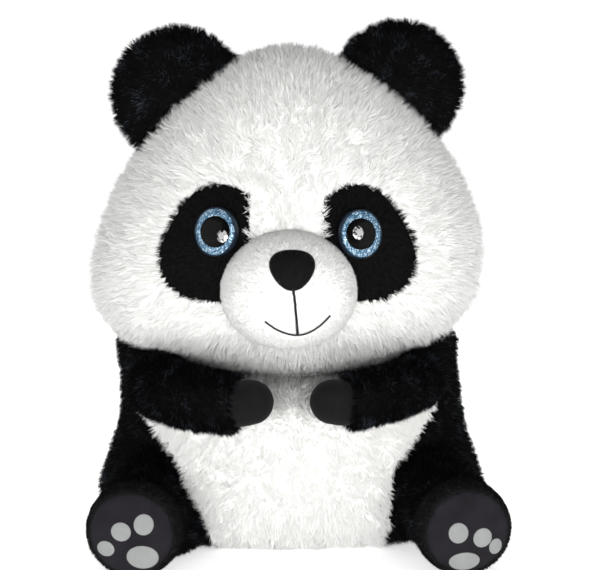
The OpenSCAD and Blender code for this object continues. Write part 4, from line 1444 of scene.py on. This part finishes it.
def add_stone(side, eye):
    """A cut stone on the slope of the dome: a flat table, with stars, kites and facets round it."""
    r, u = STONES[side]
    out = math.hypot(r, u)
    slope = 0.7 * (lens_height(out - 1) - lens_height(out + 1)) / 2
    normal = unit(eye.n + slope * (r * eye.r + u * eye.u) / out)
    across = unit(np.cross(UP, normal))
    rise = np.cross(normal, across)
    foot = eye.at(r, u, lens_height(out) - 0.3)

    def ring(angles, out, height):
        circle = cosd(angles)[:, None] * across + sind(angles)[:, None] * rise
        return foot + out * circle + height * normal

    eighths, sixteenths = 45 * np.arange(8), 22.5 * np.arange(16)
    table = ring(eighths, 0.5 * STONE_R, STONE_TOP)
    middle = ring(eighths + 22.5, 0.8 * STONE_R, 0.55 * STONE_TOP)
    edge = ring(sixteenths, STONE_R, 0.4)
    under = ring(sixteenths, 0.9 * STONE_R, -1.6)
    faces = [tuple(range(8)), tuple(range(47, 31, -1))]
    for i in range(8):
        a, b, c = 16 + 2 * i, 17 + 2 * i, 16 + (2 * i + 2) % 16
        faces += [(i, (i + 1) % 8, 8 + i), (i, 8 + (i - 1) % 8, a, 8 + i), (8 + i, a, b), (8 + i, b, c)]
    faces += [(16 + i, 32 + i, 32 + (i + 1) % 16, 16 + (i + 1) % 16) for i in range(16)]
    points = np.vstack([table, middle, edge, under])
    stone = put(f"stone_{side}", points, faces, stone_glint_looks[0], smooth=False)
    for look in stone_glint_looks[1:]:
        stone.data.materials.append(look)
    # Facets take the painted bright, mid and dark looks in turn
    for number, face in enumerate(stone.data.polygons):
        face.material_index = (0, 2, 0, 1, 0, 2, 0)[(number * 3) % 7]
    attach(stone, "head", "cut_stone", f"eye_gem_{side}")


# ---------- Nose and mouth ----------

NOSE_W, NOSE_H = 35.5, 30
NOSE_X, NOSE_Z = -0.7, 251.6
NOSE_LIFT = 5.5
# The upright stitches run from under the nose to the lowest place of the smile, as (x, z)
MOUTH_TOP = (-0.2, 238)
MOUTH_LOW = (3.6, 199)
SMILE_HALF = 26.5
SMILE_RISE = {"left": 11.6, "right": 15.8}


def nose_outline(turns, share=1.0):
    """A rounded triangle, blunt above and narrow below."""
    across, rise = cosd(turns), sind(turns)
    wide = np.sign(across) * np.abs(across) ** 0.86 * (1 + 0.3 * rise) / 1.05
    return share * NOSE_W / 2 * wide, share * NOSE_H / 2 * rise


def mouth_paths():
    """The upright line from the nose and the smile, as (x, z) points."""
    t = np.linspace(0, 1, 30)[:, None]
    upright = (1 - t) * np.array(MOUTH_TOP) + t * np.array(MOUTH_LOW)
    sweep = np.linspace(-1, 1, 60)
    rise = np.where(sweep < 0, SMILE_RISE["left"], SMILE_RISE["right"]) * np.abs(sweep) ** 1.9
    return upright, np.stack([MOUTH_LOW[0] + SMILE_HALF * sweep, MOUTH_LOW[1] + rise], 1)


class FrontSurface:
    """Finds the muzzle's surface behind a place seen from the front."""

    def __init__(self, obj):
        bpy.context.view_layer.update()
        self.tree = BVHTree.FromObject(obj, bpy.context.evaluated_depsgraph_get())

    def at(self, x, z, lift=0.0):
        start = Vector(to_frame([x, -400, z]))
        hit, normal = self.tree.ray_cast(start, Vector((0, 1, 0)))[:2]
        return from_frame(hit) + lift * np.array(normal)


def add_nose_and_mouth(muzzle):
    surface = FrontSurface(muzzle)
    turns = np.arange(0, 360, 5.0)
    rings = []
    for share in (0.12, 0.3, 0.48, 0.64, 0.78, 0.89, 0.96, 1.0):
        x, z = nose_outline(turns, share)
        lift = 1.2 + (NOSE_LIFT - 1.2) * (1 - share ** 2.4) ** 0.7
        rings.append(np.array([surface.at(NOSE_X + a, NOSE_Z + b, lift) for a, b in zip(x, z)]))
    x, z = nose_outline(turns, 0.97)
    rings.append(np.array([surface.at(NOSE_X + a, NOSE_Z + b, -1.5) for a, b in zip(x, z)]))
    pad = put("nose_pad", *loft(rings, rings[0].mean(0), rings[-1].mean(0)))
    swell(pad, np.repeat([0, 0, 0, 0, 0.2, 0.6, 1, 1, 1], len(turns)).tolist() + [0, 1], 1.5, 3)
    subdivide(pad)
    dress(pad, nose_velour, "nose_velour", "head", ["nose"], 0.9)
    add_pile("head", "nose_velour", "nose_pile", pad, nose_pile_look, 16000, 1.5, lambda p: -UP,
             lambda p: p[:, 1] < rings[-2][:, 1].max() + 1, width=0.2, seed=121)

    x, z = nose_outline(np.arange(0, 361, 4.0))
    edge = [surface.at(NOSE_X + a, NOSE_Z + b, 1.7) for a, b in zip(x, z)]
    rim = add_thread("nose_rim", edge, 1.15, black_thread, pitch=2.6, plies=3)
    attach(rim, "head", "black_thread")

    upright, smile = mouth_paths()
    for name, path, radius, nodes in (("mouth_line", upright, 1.25, ["mouth_stitching"]),
                                      ("smile_line", smile, 0.95, [])):
        line = [surface.at(a, b, 2.0) for a, b in path]
        attach(add_thread(name, line, radius, black_thread, pitch=3.6), "head", "black_thread", *nodes)


def clear_of_mouth(points):
    """Share of the muzzle pile's length: short beside the threads, where the stitches press it down."""
    lines = np.vstack(mouth_paths())
    flat = points[:, [0, 2]]
    gap = np.sqrt(((flat[:, None] - lines[None]) ** 2).sum(2).min(1))
    return np.clip((gap - 0.5) / 4, 0.3, 1)


# ---------- Inside ----------

def add_pellets():
    """Round beads in layers, in their pouch."""
    low, high = corners("pellets")
    middle = (low + high) / 2
    reach_out = (high[0] - low[0]) / 2
    bead, step = 2.7, 5.7
    work = bmesh.new()
    bmesh.ops.create_icosphere(work, subdivisions=1, radius=bead)
    ball = np.array([v.co for v in work.verts])
    ball_faces = [[v.index for v in f.verts] for f in work.faces]
    work.free()
    points, faces = [], []
    for layer in range(3):
        shift = step / 2 * (layer % 2)
        z = low[2] + bead + 0.3 + layer * 4.7
        limit = reach_out - bead - (1.5 if layer == 1 else 4.5)
        count = int(limit / step) + 1
        for i in range(-count, count + 1):
            for j in range(-count, count + 1):
                place = np.array([i * step + shift, j * step * 0.9 + shift, 0]) + [middle[0], middle[1], z]
                if math.hypot(*(place - middle)[:2]) < limit:
                    faces += [tuple(v + len(points) for v in f) for f in ball_faces]
                    points += (ball + place).tolist()
    beads = put("bead_fill", np.array(points), faces, bead_plastic)
    attach(beads, "torso", "pellets", "pellets")


def add_pouch():
    low, high = corners("pellet_bag")
    middle = (low + high) / 2
    half = (high - low) / 2
    turns = np.arange(0, 360, 6.0)
    rings = []
    for a in np.linspace(8, 172, 15):
        out = half[0] * sind(a) ** 0.5
        rings.append(middle + flat_ring(out, half[2] * cosd(a), turns))
    pouch = put("bead_pouch", *loft(rings, middle + [0, 0, half[2]], middle - [0, 0, half[2]]))
    swell(pouch, near(mesh_points(pouch)[:, 2] - middle[2], 4), 1.2)
    dress(pouch, pouch_cloth, "bag_cloth", "torso", ["pellet_bag"], 0.7)


# ---------- The scene ----------

def dress_cad_nodes():
    """Gives the CAD nodes that stay their finished materials."""
    looks = {"lock_washer": washer_plastic, "closing_stitches": black_thread}
    for name, node in frame["nodes"].items():
        if node.hide_render:
            continue
        look = next(look for start, look in looks.items() if name.startswith(start))
        node.data.materials.clear()
        node.data.materials.append(look)


add_camera()
add_studio()
add_head()
add_torso()
add_tail()
add_neck()
add_ears()
add_arms()
add_legs()
add_eyes()
add_nose_and_mouth(bpy.data.objects["muzzle_skin"])
add_pellets()
add_pouch()
dress_cad_nodes()
